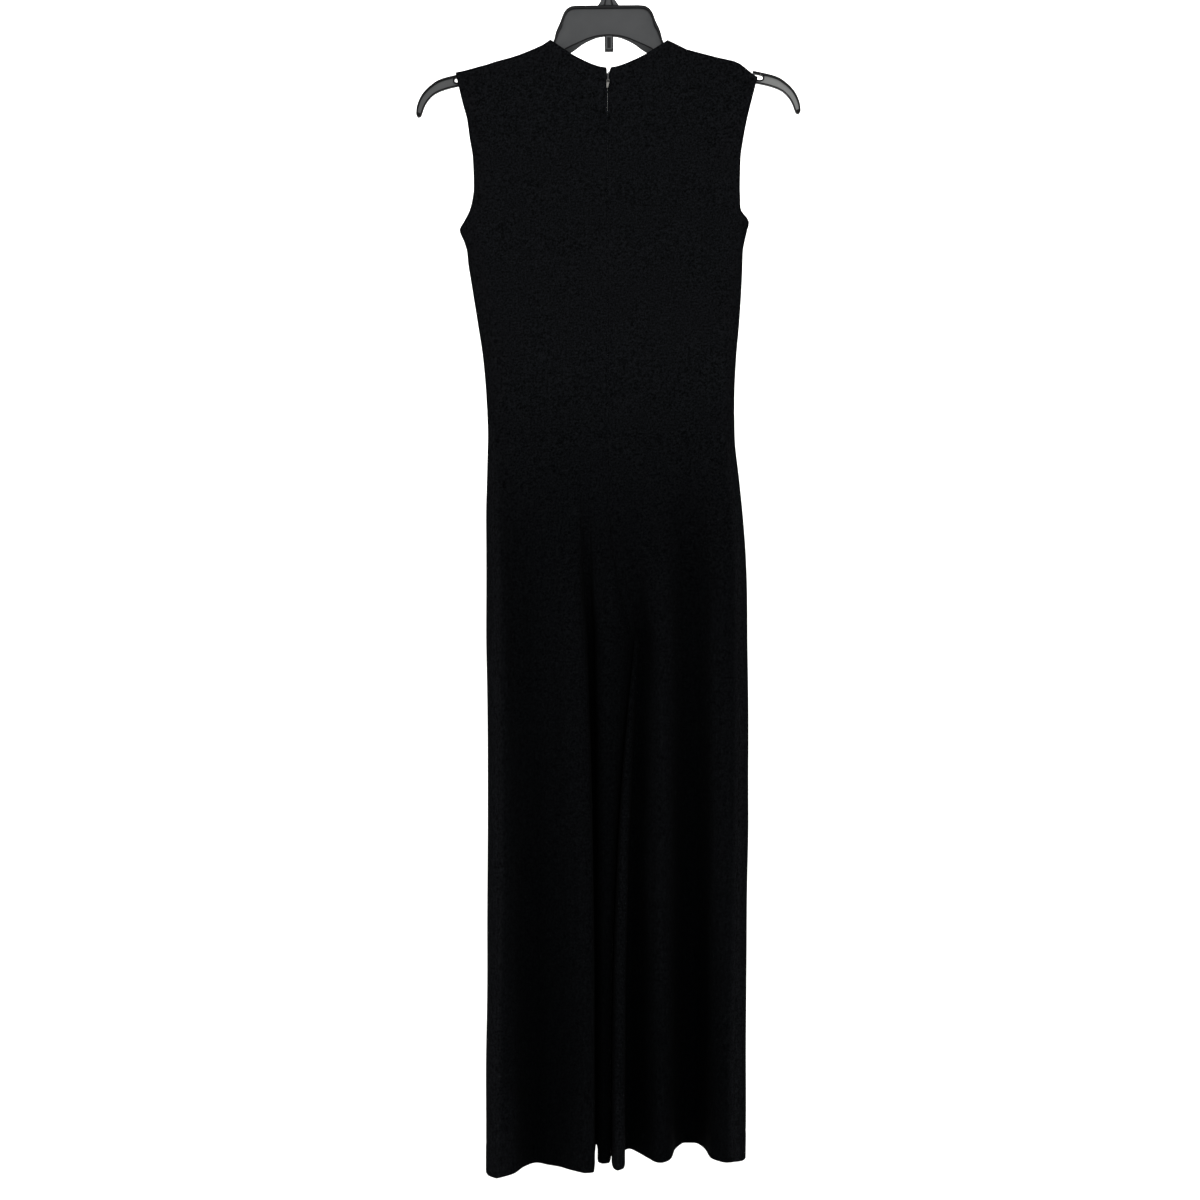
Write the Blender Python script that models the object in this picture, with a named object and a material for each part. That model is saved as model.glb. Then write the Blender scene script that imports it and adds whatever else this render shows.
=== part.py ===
"""Sleeveless wide-leg jumpsuit hanging on a moulded plastic hanger.

Units are metres, +Z is up.  The origin is the inside top of the hook, where a rail or nail
carries it.  The garment's back faces -Y, its front faces +Y.  Tables are in millimetres.
"""

import math

import bmesh
import bpy
import numpy as np
from mathutils import Vector

MM = 0.001

# ---------------------------------------------------------------- cloth
WALL = 1.5            # thickness of every cloth wall
SEAM_GAP = 0.3        # space left between two sewn edges
TAPE = 0.6            # thickness of a zip tape
HEM_Z = -1527.0       # level hem of both legs
CROTCH_Z = -878.0
CROTCH_X = 33.0       # centre seam at the crotch
HIP_Z = -600.0        # the body section starts to turn into legs below this
YOKE_Z = -250.0       # rows are level from here down; above, they follow the neck and shoulder
NECK_T = 0.63         # share of a panel's width, from its side, where the neck point lies
BACK_NECK_Z = -160.5
FRONT_NECK_Z = -208.0
UNDERARM_Z = -361.0
SHOULDER_ROLL = 2.4   # height over which the cloth turns across the top of the hanger
SIDE_ROLL = 14.0      # width over which it turns at the side of the body

YOKE_SHARES = (0.0, 0.02, 0.12, 0.3, 0.5, 0.75)
LEVELS = (YOKE_Z, -285, -323, -353, UNDERARM_Z, -375, -389, -424, -474, -525, -575, HIP_Z, -650,
          -700, -750, -795, -835, -860, CROTCH_Z, -900, -940, -1000, -1070, -1150, -1230, -1310,
          -1390, -1460, HEM_Z)

# Outline of the body seen from the back: height, left edge, right edge.
OUTLINE = np.array([
    (-160, -191.5, 191), (-182, -186.5, 185), (-203, -181.5, 179.7), (-223, -176, 174.8),
    (-248, -172.4, 170), (-273, -168.5, 166.5), (-311, -167.2, 165.6), (-323, -168.6, 165.9),
    (-336, -171.5, 166.3), (-353, -180, 177), (-361, -185.6, 175.5), (-375, -180.2, 172.2),
    (-389, -176.1, 169.8), (-402, -174.9, 169.4), (-424, -171.4, 168.6), (-474, -163.4, 165.5),
    (-525, -155.8, 161.1), (-575, -151.6, 159.1), (-625, -149.6, 159.2), (-676, -150.5, 163),
    (-726, -152.6, 166.9), (-776, -153, 170.5), (-878, -151, 175.4), (-1527, -149, 173.5)])

# Top edge of the cloth along each shoulder, from the tip to the neck point: x, z.
LEFT_SHOULDER = np.array([
    (-191.5, -164.8), (-182, -163), (-171.7, -160.3), (-161.5, -157.4), (-151.6, -154.8),
    (-141.5, -151.3), (-121.4, -145.9), (-111.3, -142.7), (-97, -137), (-82, -130.4),
    (-72.5, -124)])
RIGHT_SHOULDER = np.array([
    (191, -170.6), (187.5, -169.6), (182, -166.4), (177, -162.3), (172, -158.2), (166, -153.6),
    (158, -150.2), (136, -145.3), (121, -141.4), (99, -135.6), (86, -129), (76.5, -124.5)])

# Neckline from the neck point (share 0) to the centre (share 1): share, drop as a share.
NECK_CURVE = np.array([
    (0, 0), (0.2, 0.3), (0.4, 0.565), (0.6, 0.77), (0.75, 0.9), (0.9, 0.985), (1, 1)])

# Half depth of the body from the hanger's plane out to the cloth: height, half depth.
HALF_DEPTH = np.array([
    (-120, 8.5), (-250, 9.5), (-330, 12), (-400, 14), (-575, 16), (-676, 20), (-776, 24),
    (-878, 28)])

# How far the armhole's edge has turned in from the flat, in radians from the side.
ARMHOLE_TURN = np.array([(-160, 1.25), (-215, 1.1), (-300, 0.9), (-350, 0.5), (-361, 0)])

# Distance of the side seam from the side edge, on the back.
SEAM_WRAP = np.array([(-575, 0), (-650, 10), (-878, 12)])

# How far each leg's outer edge swells out between the crotch and the hem: height, left, right.
SWELL = np.array([
    (CROTCH_Z, 0, 0), (-1028, -0.9, 2.8), (-1103, -1.2, 3.1), (-1178, -1.5, 1.9),
    (-1253, -0.8, 1.6), (-1329, 0, 0.8), (-1404, 0.7, 0.2), (HEM_Z, 0, 0)])
SWELL_SHARE = 0.3     # share of the panel's width over which the swelling fades

# Opening of the centre-back seam round the slider: height, half width.
ZIP_MOUTH = np.array([(HEM_Z, 0), (-196, 0), (-185, 0.9), (-170, 0.9), (-160.5, 2.4)])

# One row for each fold line, from the side seam to the centre seam and inseam.  The columns are
# share of the body panel's width, then x and y at the crotch's level, then x and y at the hem.
BACK_LEFT = np.array([
    (0.00, -137, -30, -135, -68), (0.05, -128, -31, -127, -63), (0.12, -117, -20, -115, -53),
    (0.20, -104, -17, -103, -30), (0.29, -90, -20, -89, -19), (0.38, -76, -25, -74, -26),
    (0.46, -64, -26, -60, -31), (0.54, -52, -31, -46, -41), (0.63, -40, -32, -31, -50),
    (0.65, -37.5, -31.5, -28, -51.5), (0.73, -29, -24, -17.5, -49), (0.78, -23, 5, -15.5, 42),
    (0.82, -18, 5, -13, 42), (0.87, -13, -14, -11, -16), (0.92, -2, -20, -6, -22),
    (0.96, 16, -17, 1, -20), (1.00, 32.05, -5, 4, 0)])
BACK_RIGHT = np.array([
    (0.00, 163, -16, 158, -17), (0.06, 153, -26, 148, -19), (0.13, 141, -29, 137, -13),
    (0.20, 131, -26, 130, -3), (0.27, 121, -14, 125, 26), (0.35, 110, -6, 113, 46),
    (0.43, 99, -6, 100, 47), (0.51, 88, -14, 87, 26), (0.57, 78, -26, 77, -10),
    (0.63, 68, -29, 66, -19), (0.65, 66, -28.5, 63, -18.5), (0.73, 58, -22, 52, -6),
    (0.82, 50, -2, 38, 16), (0.87, 45, 1, 28, 26), (0.91, 42, 0, 22, 20),
    (0.94, 39, -3, 19.5, -36), (0.965, 37.3, -4.4, 12, -44), (0.985, 35.8, -5, 7.5, -37),
    (1.00, 33.95, -5, 5.6, -12)])
FRONT_LEFT = np.array([
    (0.00, -137, -30, -135, -68), (0.03, -147, -22, -145, -58), (0.06, -151, -6, -149, -36),
    (0.10, -150, 8, -147, -8), (0.15, -141, 20, -137, 20), (0.22, -128, 27, -124, 46),
    (0.30, -112, 27, -110, 62), (0.38, -97, 24, -95, 54), (0.47, -81, 25, -80, 34),
    (0.56, -65, 30, -64, 36), (0.63, -52, 33, -49, 56), (0.65, -48, 33, -45, 60),
    (0.73, -34, 33, -30, 72), (0.82, -15, 31, -14, 72), (0.89, 8, 28, -1, 56),
    (0.95, 37, 12, 11, 26), (1.00, 32.05, -5, 4, 0)])
FRONT_RIGHT = np.array([
    (0.00, 163, -16, 158, -17), (0.03, 171, -10, 168, -13), (0.06, 175.4, 0, 173, -2),
    (0.10, 174, 12, 173.5, 14), (0.15, 165, 22, 167, 38), (0.22, 151, 28, 154, 58),
    (0.30, 136, 29, 138, 60), (0.38, 121, 27, 123, 66), (0.47, 106, 27, 107, 78),
    (0.56, 91, 30, 91, 66), (0.63, 79, 33, 78, 46), (0.65, 76, 33, 74, 44),
    (0.73, 64, 34, 59, 44), (0.82, 54, 32, 43, 62), (0.89, 48, 28, 28, 60),
    (0.95, 43, 15, 19, 42), (1.00, 33.95, -5, 5.6, -12)])

# ---------------------------------------------------------------- zip
ZIP_END_Z = -589.0
TAPE_TOP_Z = -166.0
TAPE_SPAN = (1.9, 13.0)        # near and far edge of each tape, from the seam
TAPE_NEAR_SLIDER = 4.4         # near edge where the tape turns aside for the slider
TAPE_TURN_Z = (-181.0, -184.0)
COIL_TOP_Z = -183.0
COIL_HALF = 1.5                # half width of the closed coil
COIL_DEPTH = 1.8
SLIDER_BODY = (3.8, 3.0, -170.5, -180.5)      # half width, depth, top, bottom
SLIDER_NECK = (0.45, -172.0, -177.2)          # half width, top, bottom
BRIDGE = (1.0, -166.0, -177.5)                # half width, top, bottom
BRIDGE_OUT = -12.9             # the bridge's outer face
BRIDGE_WEB = 2.5               # height of the bridge over its window
PIN_Y = -10.9                  # hinge axis of the pull
PIN_Z = -175.2
PIN_ROOM = 1.1                 # from the hinge axis to the bridge's window, each way
PULL_HALF = 0.45               # half the pull's thickness
# The pull hangs leaning to the left: x and z from the hinge axis.
PULL_OUTLINE = ((-1.9, 0.45), (1.9, 0.45), (1.8, -3.9), (1.0, -7.4), (0.1, -10.2), (-1.2, -10.9),
                (-2.1, -10.2), (-2.2, -7.6), (-1.9, -3.9))
PULL_EYE = ((-1.35, -0.45), (-1.35, -3.4), (1.3, -3.4), (1.35, -0.45))

# ---------------------------------------------------------------- hanger
TILT = 0.5                     # degrees that the hanger has swung, its right side up
LEFT_LONGER = 1.006            # the left arm's length as a share of the right's
RIM_TOP = (3.6, 3.0)           # half depth and height of the upper rim
RIM_LOW = (2.4, 1.8)           # half depth and height of the lower rim
WEB_HALF = 1.25                # half thickness of the web
NOTCH_DEPTH = 8.0              # half depth of the tool that cuts the notches
PEG = ((-3.9, -3.2, -137.2), (5.9, 3.2, -117.7))          # lowest and highest corner
PEG_SLIT = ((-1.1, -5.0, -135.2), (3.3, -1.6, -119.5))    # lowest and highest corner
HEAD_Z = -79.0                 # top of the head
HOOK_RADIUS = 26.5             # centreline of the hook's bow
HOOK_BAR = 4.5                 # half height of the hook's bar
HOOK_HALF = 3.2                # half depth of the hook's bar
HOOK_TURN = 205                # degrees that the bow turns through
HOOK_STEPS = 16                # sections round the bow

# One row for each station from the middle out to the tip: top x, top z, bottom x, bottom z, and
# how far the web hangs below the lower rim.
HANGER = np.array([
    (0, -79, 0, -117, 0.2), (12, -79, 12, -118.3, 0.6), (24, -79, 22.5, -122, 1.9),
    (36, -79, 33, -127.5, 3.2), (45, -79.6, 41, -133.5, 5.6), (51, -82.5, 48, -138, 7),
    (55.8, -88.7, 53, -140.5, 7), (59.6, -98.7, 57, -142.5, 6), (65.2, -111.3, 61.5, -144.5, 3.5),
    (69.2, -125.5, 66.5, -147, 1.2), (75.5, -133, 73, -149.7, 0), (84, -136, 80, -152.3, 0),
    (99, -141.5, 95, -158, 0), (121, -148, 117, -163, 0), (136, -152.5, 132, -166.5, 0),
    (152, -156.5, 149, -170, 0), (167, -160, 165, -173.5, 0), (181.5, -162.8, 180, -177, 0),
    (197, -166.2, 195, -180, 0), (206, -168.5, 204, -182.4, 0), (214, -171.6, 212.3, -185.4, 0),
    (222, -177, 219.3, -189.4, 0), (229, -183.5, 224.3, -194.2, 0),
    (234.5, -190.5, 228.3, -199.5, 0), (238.5, -199, 231.1, -205.2, 0),
    (240.6, -207, 233, -210.5, 0), (241, -213.5, 234.6, -214.8, 0),
    (239.6, -216.6, 236.6, -217, 0)])

# The notch that holds a strap, under a thin prong: x, z.
NOTCH = (
    (164, -150), (181.5, -150), (181.5, -163.8), (190.5, -166), (194, -168.6), (194.3, -173),
    (190.5, -175.7), (183.5, -174.4), (172, -166.5), (164, -158))


def table(rows, z, column):
    """Value of a table's column at height z; the first column is the height."""
    order = np.argsort(rows[:, 0])
    return float(np.interp(z, rows[order, 0], rows[order, column]))


def smooth(value):
    """Ease in and out between 0 and 1."""
    value = min(1.0, max(0.0, value))
    return value * value * (3 - 2 * value)


def material(name, colour, roughness, metallic=0.0):
    """Principled material of one colour."""
    made = bpy.data.materials.new(name)
    made.use_nodes = True
    shader = made.node_tree.nodes["Principled BSDF"]
    shader.inputs["Base Color"].default_value = (*colour, 1.0)
    shader.inputs["Roughness"].default_value = roughness
    shader.inputs["Metallic"].default_value = metallic
    return made


def add_object(name, mesh, finish, collection):
    """Object for a mesh, in the part's collection."""
    made = bpy.data.objects.new(name, mesh)
    made.data.materials.append(finish)
    collection.objects.link(made)
    return made


def mesh_of(name, points, faces):
    """Mesh from points in millimetres."""
    made = bpy.data.meshes.new(name)
    made.from_pydata([tuple(c * MM for c in p) for p in points], [], faces)
    made.update()
    return made


# ---------------------------------------------------------------- the four cloth panels
class Panel:
    """One cut piece, from shoulder to hem, as a grid of points on the middle of its wall."""

    def __init__(self, name, folds, side, facing, shoulder):
        self.name = name
        self.folds = folds
        self.side = side            # -1 left, 1 right
        self.facing = facing        # -1 back, 1 front
        self.shoulder = shoulder
        self.neck_z = BACK_NECK_Z if facing < 0 else FRONT_NECK_Z
        self.columns = len(folds)
        self.rows = len(YOKE_SHARES) + len(LEVELS)
        self.points = np.array([[self.point(i, j) for j in range(self.columns)]
                                for i in range(self.rows)])

    def top(self, share):
        """x and z of the panel's top edge: the shoulder, then the neckline."""
        line = self.shoulder
        tip_x, neck_x = line[0, 0], line[-1, 0]
        if share <= NECK_T:
            x = tip_x + (neck_x - tip_x) * share / NECK_T
            order = np.argsort(line[:, 0])
            return x, float(np.interp(x, line[order, 0], line[order, 1]))
        across = (share - NECK_T) / (1 - NECK_T)
        drop = float(np.interp(across, NECK_CURVE[:, 0], NECK_CURVE[:, 1]))
        return neck_x * (1 - across), line[-1, 1] + (self.neck_z - line[-1, 1]) * drop

    def body(self, share, z):
        """x and y of the body's section at height z, at a share of the panel's width."""
        edge = table(OUTLINE, z, 1 if self.side < 0 else 2)
        half = table(HALF_DEPTH, z, 1)
        wrap = table(SEAM_WRAP, z, 1)
        turn = table(ARMHOLE_TURN, z, 1) if z > UNDERARM_Z else 0.0
        if self.facing > 0:
            along = wrap - (abs(edge) + wrap) * share
        else:
            along = wrap + (abs(edge) - wrap) * share
        angle = turn + (math.pi / 2 - turn) * min(1.0, abs(along) / SIDE_ROLL)
        inset = SIDE_ROLL * (1 - math.cos(angle) / math.cos(turn))
        on_back = along > 0 or self.facing < 0
        y = half * math.sin(angle) * (-1 if on_back else 1)
        from_edge = abs(along) if abs(along) > SIDE_ROLL else inset
        return edge - self.side * from_edge, y

    def legs(self, j, z):
        """x and y of fold line j between the crotch's level and the hem."""
        _, crotch_x, crotch_y, hem_x, hem_y = self.folds[j]
        down = (CROTCH_Z - z) / (CROTCH_Z - HEM_Z)
        across = 1 - (1 - down) ** 2.6
        deep = down ** 0.9
        near_side = smooth(1 - self.folds[j, 0] / SWELL_SHARE)
        swell = self.side * near_side * table(SWELL, z, 1 if self.side < 0 else 2)
        return (crotch_x + (hem_x - crotch_x) * across + swell,
                crotch_y + (hem_y - crotch_y) * deep)

    def point(self, i, j):
        """Point of the grid at row i and column j."""
        share = self.folds[j, 0]
        if i < len(YOKE_SHARES):
            down = YOKE_SHARES[i]
            top_x, top_z = self.top(share)
            z = top_z + (YOKE_Z - top_z) * down
            side_top = self.shoulder[0, 1]
            side_z = side_top + (YOKE_Z - side_top) * down
            edge = table(OUTLINE, side_z, 1 if self.side < 0 else 2)
            level_x, y = self.body(share, side_z)
            if share == 0:
                x = edge
            elif share == 1:
                x = level_x
            else:
                x = top_x + (level_x - top_x) * smooth(down * 1.6)
            y *= self.roll(x, z)
            return self.open_zip(x, y, z, share)
        z = LEVELS[i - len(YOKE_SHARES)]
        if z >= HIP_Z:
            x, y = self.body(share, z)
            return self.open_zip(x, y, z, share)
        if z < CROTCH_Z:
            x, y = self.legs(j, z)
            return x, y, z
        x, y = self.body(share, z)
        crotch_x, crotch_y = self.legs(j, CROTCH_Z)
        if share == 1 and z > CROTCH_Z:
            crotch_x = CROTCH_X
        down = (HIP_Z - z) / (HIP_Z - CROTCH_Z)
        weight = smooth(down) if share < 0.5 else down ** (1.2 + 1.8 * share)
        return x + (crotch_x - x) * weight, y + (crotch_y - y) * weight, z

    def roll(self, x, z):
        """0 on the shoulder seam, 1 where the cloth is clear of the hanger's top."""
        line = self.shoulder
        best = 1e9
        for (ax, az), (bx, bz) in zip(line[:-1], line[1:]):
            run = Vector((bx - ax, bz - az))
            to = Vector((x - ax, z - az))
            part = min(1.0, max(0.0, to.dot(run) / run.dot(run)))
            best = min(best, (to - run * part).length)
        down = min(1.0, best / SHOULDER_ROLL)
        return math.sqrt(1 - (1 - down) ** 2)

    def open_zip(self, x, y, z, share):
        """Spreads the centre-back edge round the slider."""
        if share == 1.0 and self.facing < 0:
            x += self.side * table(ZIP_MOUTH, z, 1)
        return x, y, z


def unit(vector):
    """Vector of length 1."""
    return vector / max(np.linalg.norm(vector), 1e-9)


def grid_normals(points, outward):
    """Normal at each grid point, on the garment's outer side."""
    along = np.gradient(points, axis=1)
    down = np.gradient(points, axis=0)
    normals = np.cross(down, along) * outward
    return normals / np.linalg.norm(normals, axis=2, keepdims=True)


def share_normals(first, second, rows, column_first, column_second):
    """Gives two panels one common normal along the seam that they share."""
    for i in rows:
        common = unit(first.normals[i, column_first] + second.normals[i, column_second])
        first.normals[i, column_first] = common
        second.normals[i, column_second] = common


def mitre(panel, i, j, step_i, step_j):
    """Moves a seam point into its own panel by half the gap, square to the mitre."""
    point = panel.points[i, j]
    toward = panel.points[i + step_i, j + step_j] - point
    normal = panel.normals[i, j]
    toward = unit(toward - normal * np.dot(toward, normal))
    panel.trimmed[i, j] = panel.trimmed[i, j] + toward * SEAM_GAP / 2


def sew(panels):
    """Common normals and gaps along the shoulder, centre, side and inside-leg seams."""
    back_left, back_right, front_left, front_right = panels
    last = len(YOKE_SHARES) + len(LEVELS) - 1
    underarm = len(YOKE_SHARES) + LEVELS.index(UNDERARM_Z)
    crotch = len(YOKE_SHARES) + LEVELS.index(CROTCH_Z)
    for panel in panels:
        outward = panel.facing * panel.side
        panel.normals = grid_normals(panel.points, outward)
        panel.trimmed = panel.points.copy()
        for j in range(panel.columns):
            if panel.folds[j, 0] <= NECK_T:
                flat = panel.normals[0, j]
                panel.normals[0, j] = unit(np.array([flat[0] * 0.2, 0.0, 1.0]))
            else:
                panel.normals[0, j] = panel.normals[1, j]
    for back, front in ((back_left, front_left), (back_right, front_right)):
        share_normals(back, front, range(underarm, last + 1), 0, 0)
        share_normals(back, front, range(crotch, last + 1), -1, -1)
    share_normals(back_left, back_right, range(crotch), -1, -1)
    share_normals(front_left, front_right, range(crotch), -1, -1)
    for panel in panels:
        for j in range(panel.columns):
            if panel.folds[j, 0] <= NECK_T:
                mitre(panel, 0, j, 1, 0)
        for i in range(underarm, last + 1):
            mitre(panel, i, 0, 0, 1)
        for i in range(last + 1):
            mitre(panel, i, panel.columns - 1, 0, -1)


def shell(name, middle, normals, thickness, flip):
    """Closed wall of even thickness about a grid: two faces and a rim."""
    rows, columns = middle.shape[:2]
    outer = (middle + normals * thickness / 2).reshape(-1, 3)
    inner = (middle - normals * thickness / 2).reshape(-1, 3)
    count = rows * columns
    faces = []
    for i in range(rows - 1):
        for j in range(columns - 1):
            a = i * columns + j
            b, c, d = a + 1, a + columns + 1, a + columns
            for tri in ((a, b, c), (a, c, d)):
                faces.append(tri)
                faces.append(tuple(count + k for k in reversed(tri)))
    rim = list(range(columns))
    rim += [i * columns + columns - 1 for i in range(1, rows)]
    rim += [(rows - 1) * columns + j for j in range(columns - 2, -1, -1)]
    rim += [i * columns for i in range(rows - 2, 0, -1)]
    for a, b in zip(rim, rim[1:] + rim[:1]):
        faces.append((b, a, count + a))
        faces.append((b, count + a, count + b))
    if flip:
        faces = [tuple(reversed(face)) for face in faces]
    return mesh_of(name, np.concatenate([outer, inner]), faces)


def build_cloth(collection, finish):
    """The four panels."""
    panels = [Panel("back_left", BACK_LEFT, -1, -1, LEFT_SHOULDER),
              Panel("back_right", BACK_RIGHT, 1, -1, RIGHT_SHOULDER),
              Panel("front_left", FRONT_LEFT, -1, 1, LEFT_SHOULDER),
              Panel("front_right", FRONT_RIGHT, 1, 1, RIGHT_SHOULDER)]
    sew(panels)
    for panel in panels:
        flip = panel.facing * panel.side > 0
        mesh = shell(panel.name, panel.trimmed, panel.normals, WALL, flip)
        mesh.shade_smooth()
        add_object(panel.name, mesh, finish, collection)
    return panels


# ---------------------------------------------------------------- zip
def back_y(z):
    """Middle of the back wall at the centre-back seam."""
    return -table(HALF_DEPTH, z, 1)


def strip(name, levels, spans, inward, thickness):
    """Flat band on the inside of the back, from a list of heights and x spans."""
    points, faces = [], []
    for z, (low, high) in zip(levels, spans):
        near = back_y(z) + inward
        points += [(low, near, z), (high, near, z), (high, near + thickness, z),
                   (low, near + thickness, z)]
    for k in range(len(levels) - 1):
        for a in range(4):
            b = (a + 1) % 4
            faces.append((4 * k + a, 4 * k + b, 4 * k + 4 + b, 4 * k + 4 + a))
    faces.append((3, 2, 1, 0))
    last = 4 * (len(levels) - 1)
    faces.append((last, last + 1, last + 2, last + 3))
    mesh = mesh_of(name, points, [tuple(reversed(face)) for face in faces])
    bm = bmesh.new()
    bm.from_mesh(mesh)
    bmesh.ops.recalc_face_normals(bm, faces=bm.faces)
    bm.to_mesh(mesh)
    bm.free()
    return mesh


def box_object(name, low, high, collection, finish):
    """Box between two corners, from the cube primitive."""
    bpy.ops.mesh.primitive_cube_add(size=1.0)
    made = bpy.context.object
    made.name = name
    made.data.name = name
    centre = [(a + b) / 2 * MM for a, b in zip(low, high)]
    size = [abs(b - a) * MM for a, b in zip(low, high)]
    for vertex in made.data.vertices:
        vertex.co = Vector([c * s + m for c, s, m in zip(vertex.co, size, centre)])
    for owner in list(made.users_collection):
        owner.objects.unlink(made)
    collection.objects.link(made)
    if finish:
        made.data.materials.append(finish)
    return made


def as_cutter(made):
    """Marks an object as a cutter."""
    made.hide_render = True
    made.display_type = "WIRE"
    return made


def boolean(target, tool, operation):
    """Adds an exact Boolean with a tool object."""
    modifier = target.modifiers.new(f"{operation.lower()}_{tool.name}", "BOOLEAN")
    modifier.operation = operation
    modifier.solver = "EXACT"
    modifier.object = tool


def build_zip(collection, cutters, cloth, metal):
    """Two tapes and the closed coil inside the seam, the slider, and the pull's node."""
    inward = WALL / 2 + SEAM_GAP
    levels = [TAPE_TOP_Z, *TAPE_TURN_Z, -250, -330, -400, -490, -575, ZIP_END_Z]
    for side, name in ((-1, "zip_tape_left"), (1, "zip_tape_right")):
        spans = []
        for z in levels:
            near = TAPE_NEAR_SLIDER if z >= TAPE_TURN_Z[0] else TAPE_SPAN[0]
            spans.append(tuple(sorted((side * near, side * TAPE_SPAN[1]))))
        mesh = strip(name, levels, spans, inward, TAPE)
        add_object(name, mesh, cloth, collection)
    coil_levels = [COIL_TOP_Z, -250, -330, -400, -490, -575, ZIP_END_Z + 3]
    coil_spans = [(-COIL_HALF, COIL_HALF)] * len(coil_levels)
    mesh = strip("zip_coil", coil_levels, coil_spans, inward, COIL_DEPTH)
    add_object("zip_coil", mesh, cloth, collection)

    wall_y = back_y(BRIDGE[1])
    inside = wall_y + inward
    outside = wall_y - inward
    half, depth, top, bottom = SLIDER_BODY
    slider = box_object("zip_slider", (-half, inside, bottom), (half, inside + depth, top),
                        collection, metal)
    half, top, bottom = SLIDER_NECK
    neck = box_object("slider_neck", (-half, outside - 0.2, bottom), (half, inside + 0.5, top),
                      cutters, None)
    half, top, bottom = BRIDGE
    bridge = box_object("slider_bridge", (-half, BRIDGE_OUT, bottom), (half, outside, top),
                        cutters, None)
    window = box_object("slider_window", (-2 * half, PIN_Y - PIN_ROOM, PIN_Z - PIN_ROOM),
                        (2 * half, PIN_Y + PIN_ROOM, top - BRIDGE_WEB), cutters, None)
    boolean(bridge, as_cutter(window), "DIFFERENCE")
    boolean(slider, as_cutter(neck), "UNION")
    boolean(slider, as_cutter(bridge), "UNION")
    build_pull(collection, metal)


def build_pull(collection, metal):
    """Drop-shaped tab with an eye; its top bar is the hinge, on the object's origin."""
    curve = bpy.data.curves.new("zip_pull", "CURVE")
    curve.dimensions = "2D"
    curve.fill_mode = "BOTH"
    curve.extrude = PULL_HALF * MM
    for loop in (PULL_OUTLINE, PULL_EYE):
        spline = curve.splines.new("POLY")
        spline.points.add(len(loop) - 1)
        for point, (x, z) in zip(spline.points, loop):
            point.co = (x * MM, z * MM, 0, 1)
        spline.use_cyclic_u = True
    guide = bpy.data.objects.new("zip_pull_outline", curve)
    collection.objects.link(guide)
    guide.location = (0.0, PIN_Y * MM, PIN_Z * MM)
    guide.rotation_euler = (math.pi / 2, 0, 0)
    solid_from_curve(guide, "zip_pull", collection, metal)


def solid_from_curve(guide, name, collection, finish):
    """Turns a filled curve into a welded mesh object in the same place."""
    bpy.context.view_layer.update()
    evaluated = guide.evaluated_get(bpy.context.evaluated_depsgraph_get())
    mesh = bpy.data.meshes.new_from_object(evaluated)
    mesh.name = name
    bm = bmesh.new()
    bm.from_mesh(mesh)
    bmesh.ops.remove_doubles(bm, verts=bm.verts, dist=0.00001)
    bmesh.ops.recalc_face_normals(bm, faces=bm.faces)
    bm.to_mesh(mesh)
    bm.free()
    matrix = guide.matrix_world.copy()
    bpy.data.objects.remove(guide)
    mesh.materials.clear()
    made = bpy.data.objects.new(name, mesh)
    if finish:
        made.data.materials.append(finish)
    collection.objects.link(made)
    made.matrix_world = matrix
    return made


# ---------------------------------------------------------------- hanger
def loft(name, sections):
    """Closed solid through sections of equal point counts, with end caps."""
    count = len(sections[0])
    points = [point for section in sections for point in section]
    faces = []
    for k in range(len(sections) - 1):
        for a in range(count):
            b = (a + 1) % count
            faces.append((count * k + a, count * k + b, count * k + count + b, count * k + count + a))
    faces.append(tuple(range(count)))
    faces.append(tuple(range(count * (len(sections) - 1), count * len(sections))))
    mesh = mesh_of(name, points, faces)
    bm = bmesh.new()
    bm.from_mesh(mesh)
    bmesh.ops.recalc_face_normals(bm, faces=bm.faces)
    bm.to_mesh(mesh)
    bm.free()
    return mesh


def beam_section(top, bottom, lip):
    """Sixteen points of an I: the upper rim, the web, the lower rim and the web's lip."""
    top, bottom = Vector(top), Vector(bottom)
    height = (bottom - top).length
    down = (bottom - top).normalized()
    upper_half, upper = RIM_TOP
    lower_half, lower = RIM_LOW
    upper = min(upper, height * 0.25)
    lower = min(lower, height * 0.25)
    lip = max(lip, height * 0.01)
    edge = height - lip
    heights = (0, upper, upper, edge - lower, edge - lower, edge, edge, height)
    depths = (upper_half, upper_half, WEB_HALF, WEB_HALF, lower_half, lower_half, WEB_HALF,
              WEB_HALF)
    heights += tuple(reversed(heights))
    depths += tuple(-depth for depth in reversed(depths))
    return [(top.x + down.x * h, y, top.y + down.y * h) for h, y in zip(heights, depths)]


def build_hanger(collection, cutters, plastic, root):
    """Body with its rims and web, the centre peg and the hook."""
    longer = LEFT_LONGER
    stations = [(-a * longer, b, -c * longer, d, lip) for a, b, c, d, lip in HANGER[:0:-1]]
    stations += [tuple(row) for row in HANGER]
    sections = [beam_section((a, b), (c, d), lip) for a, b, c, d, lip in stations]
    body = add_object("hanger_body", loft("hanger_body", sections), plastic, collection)
    body.parent = root
    for side, name in ((-1, "notch_left"), (1, "notch_right")):
        ends = [[(side * x, y, z) for x, z in NOTCH] for y in (-NOTCH_DEPTH, NOTCH_DEPTH)]
        cutter = as_cutter(add_object(name, loft(name, ends), plastic, cutters))
        cutter.parent = root
        boolean(body, cutter, "DIFFERENCE")

    peg = box_object("hanger_peg", *PEG, collection, plastic)
    peg.parent = root
    slit = box_object("peg_slit", *PEG_SLIT, cutters, None)
    as_cutter(slit).parent = root
    boolean(peg, slit, "DIFFERENCE")
    build_hook(collection, plastic, root)


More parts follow.
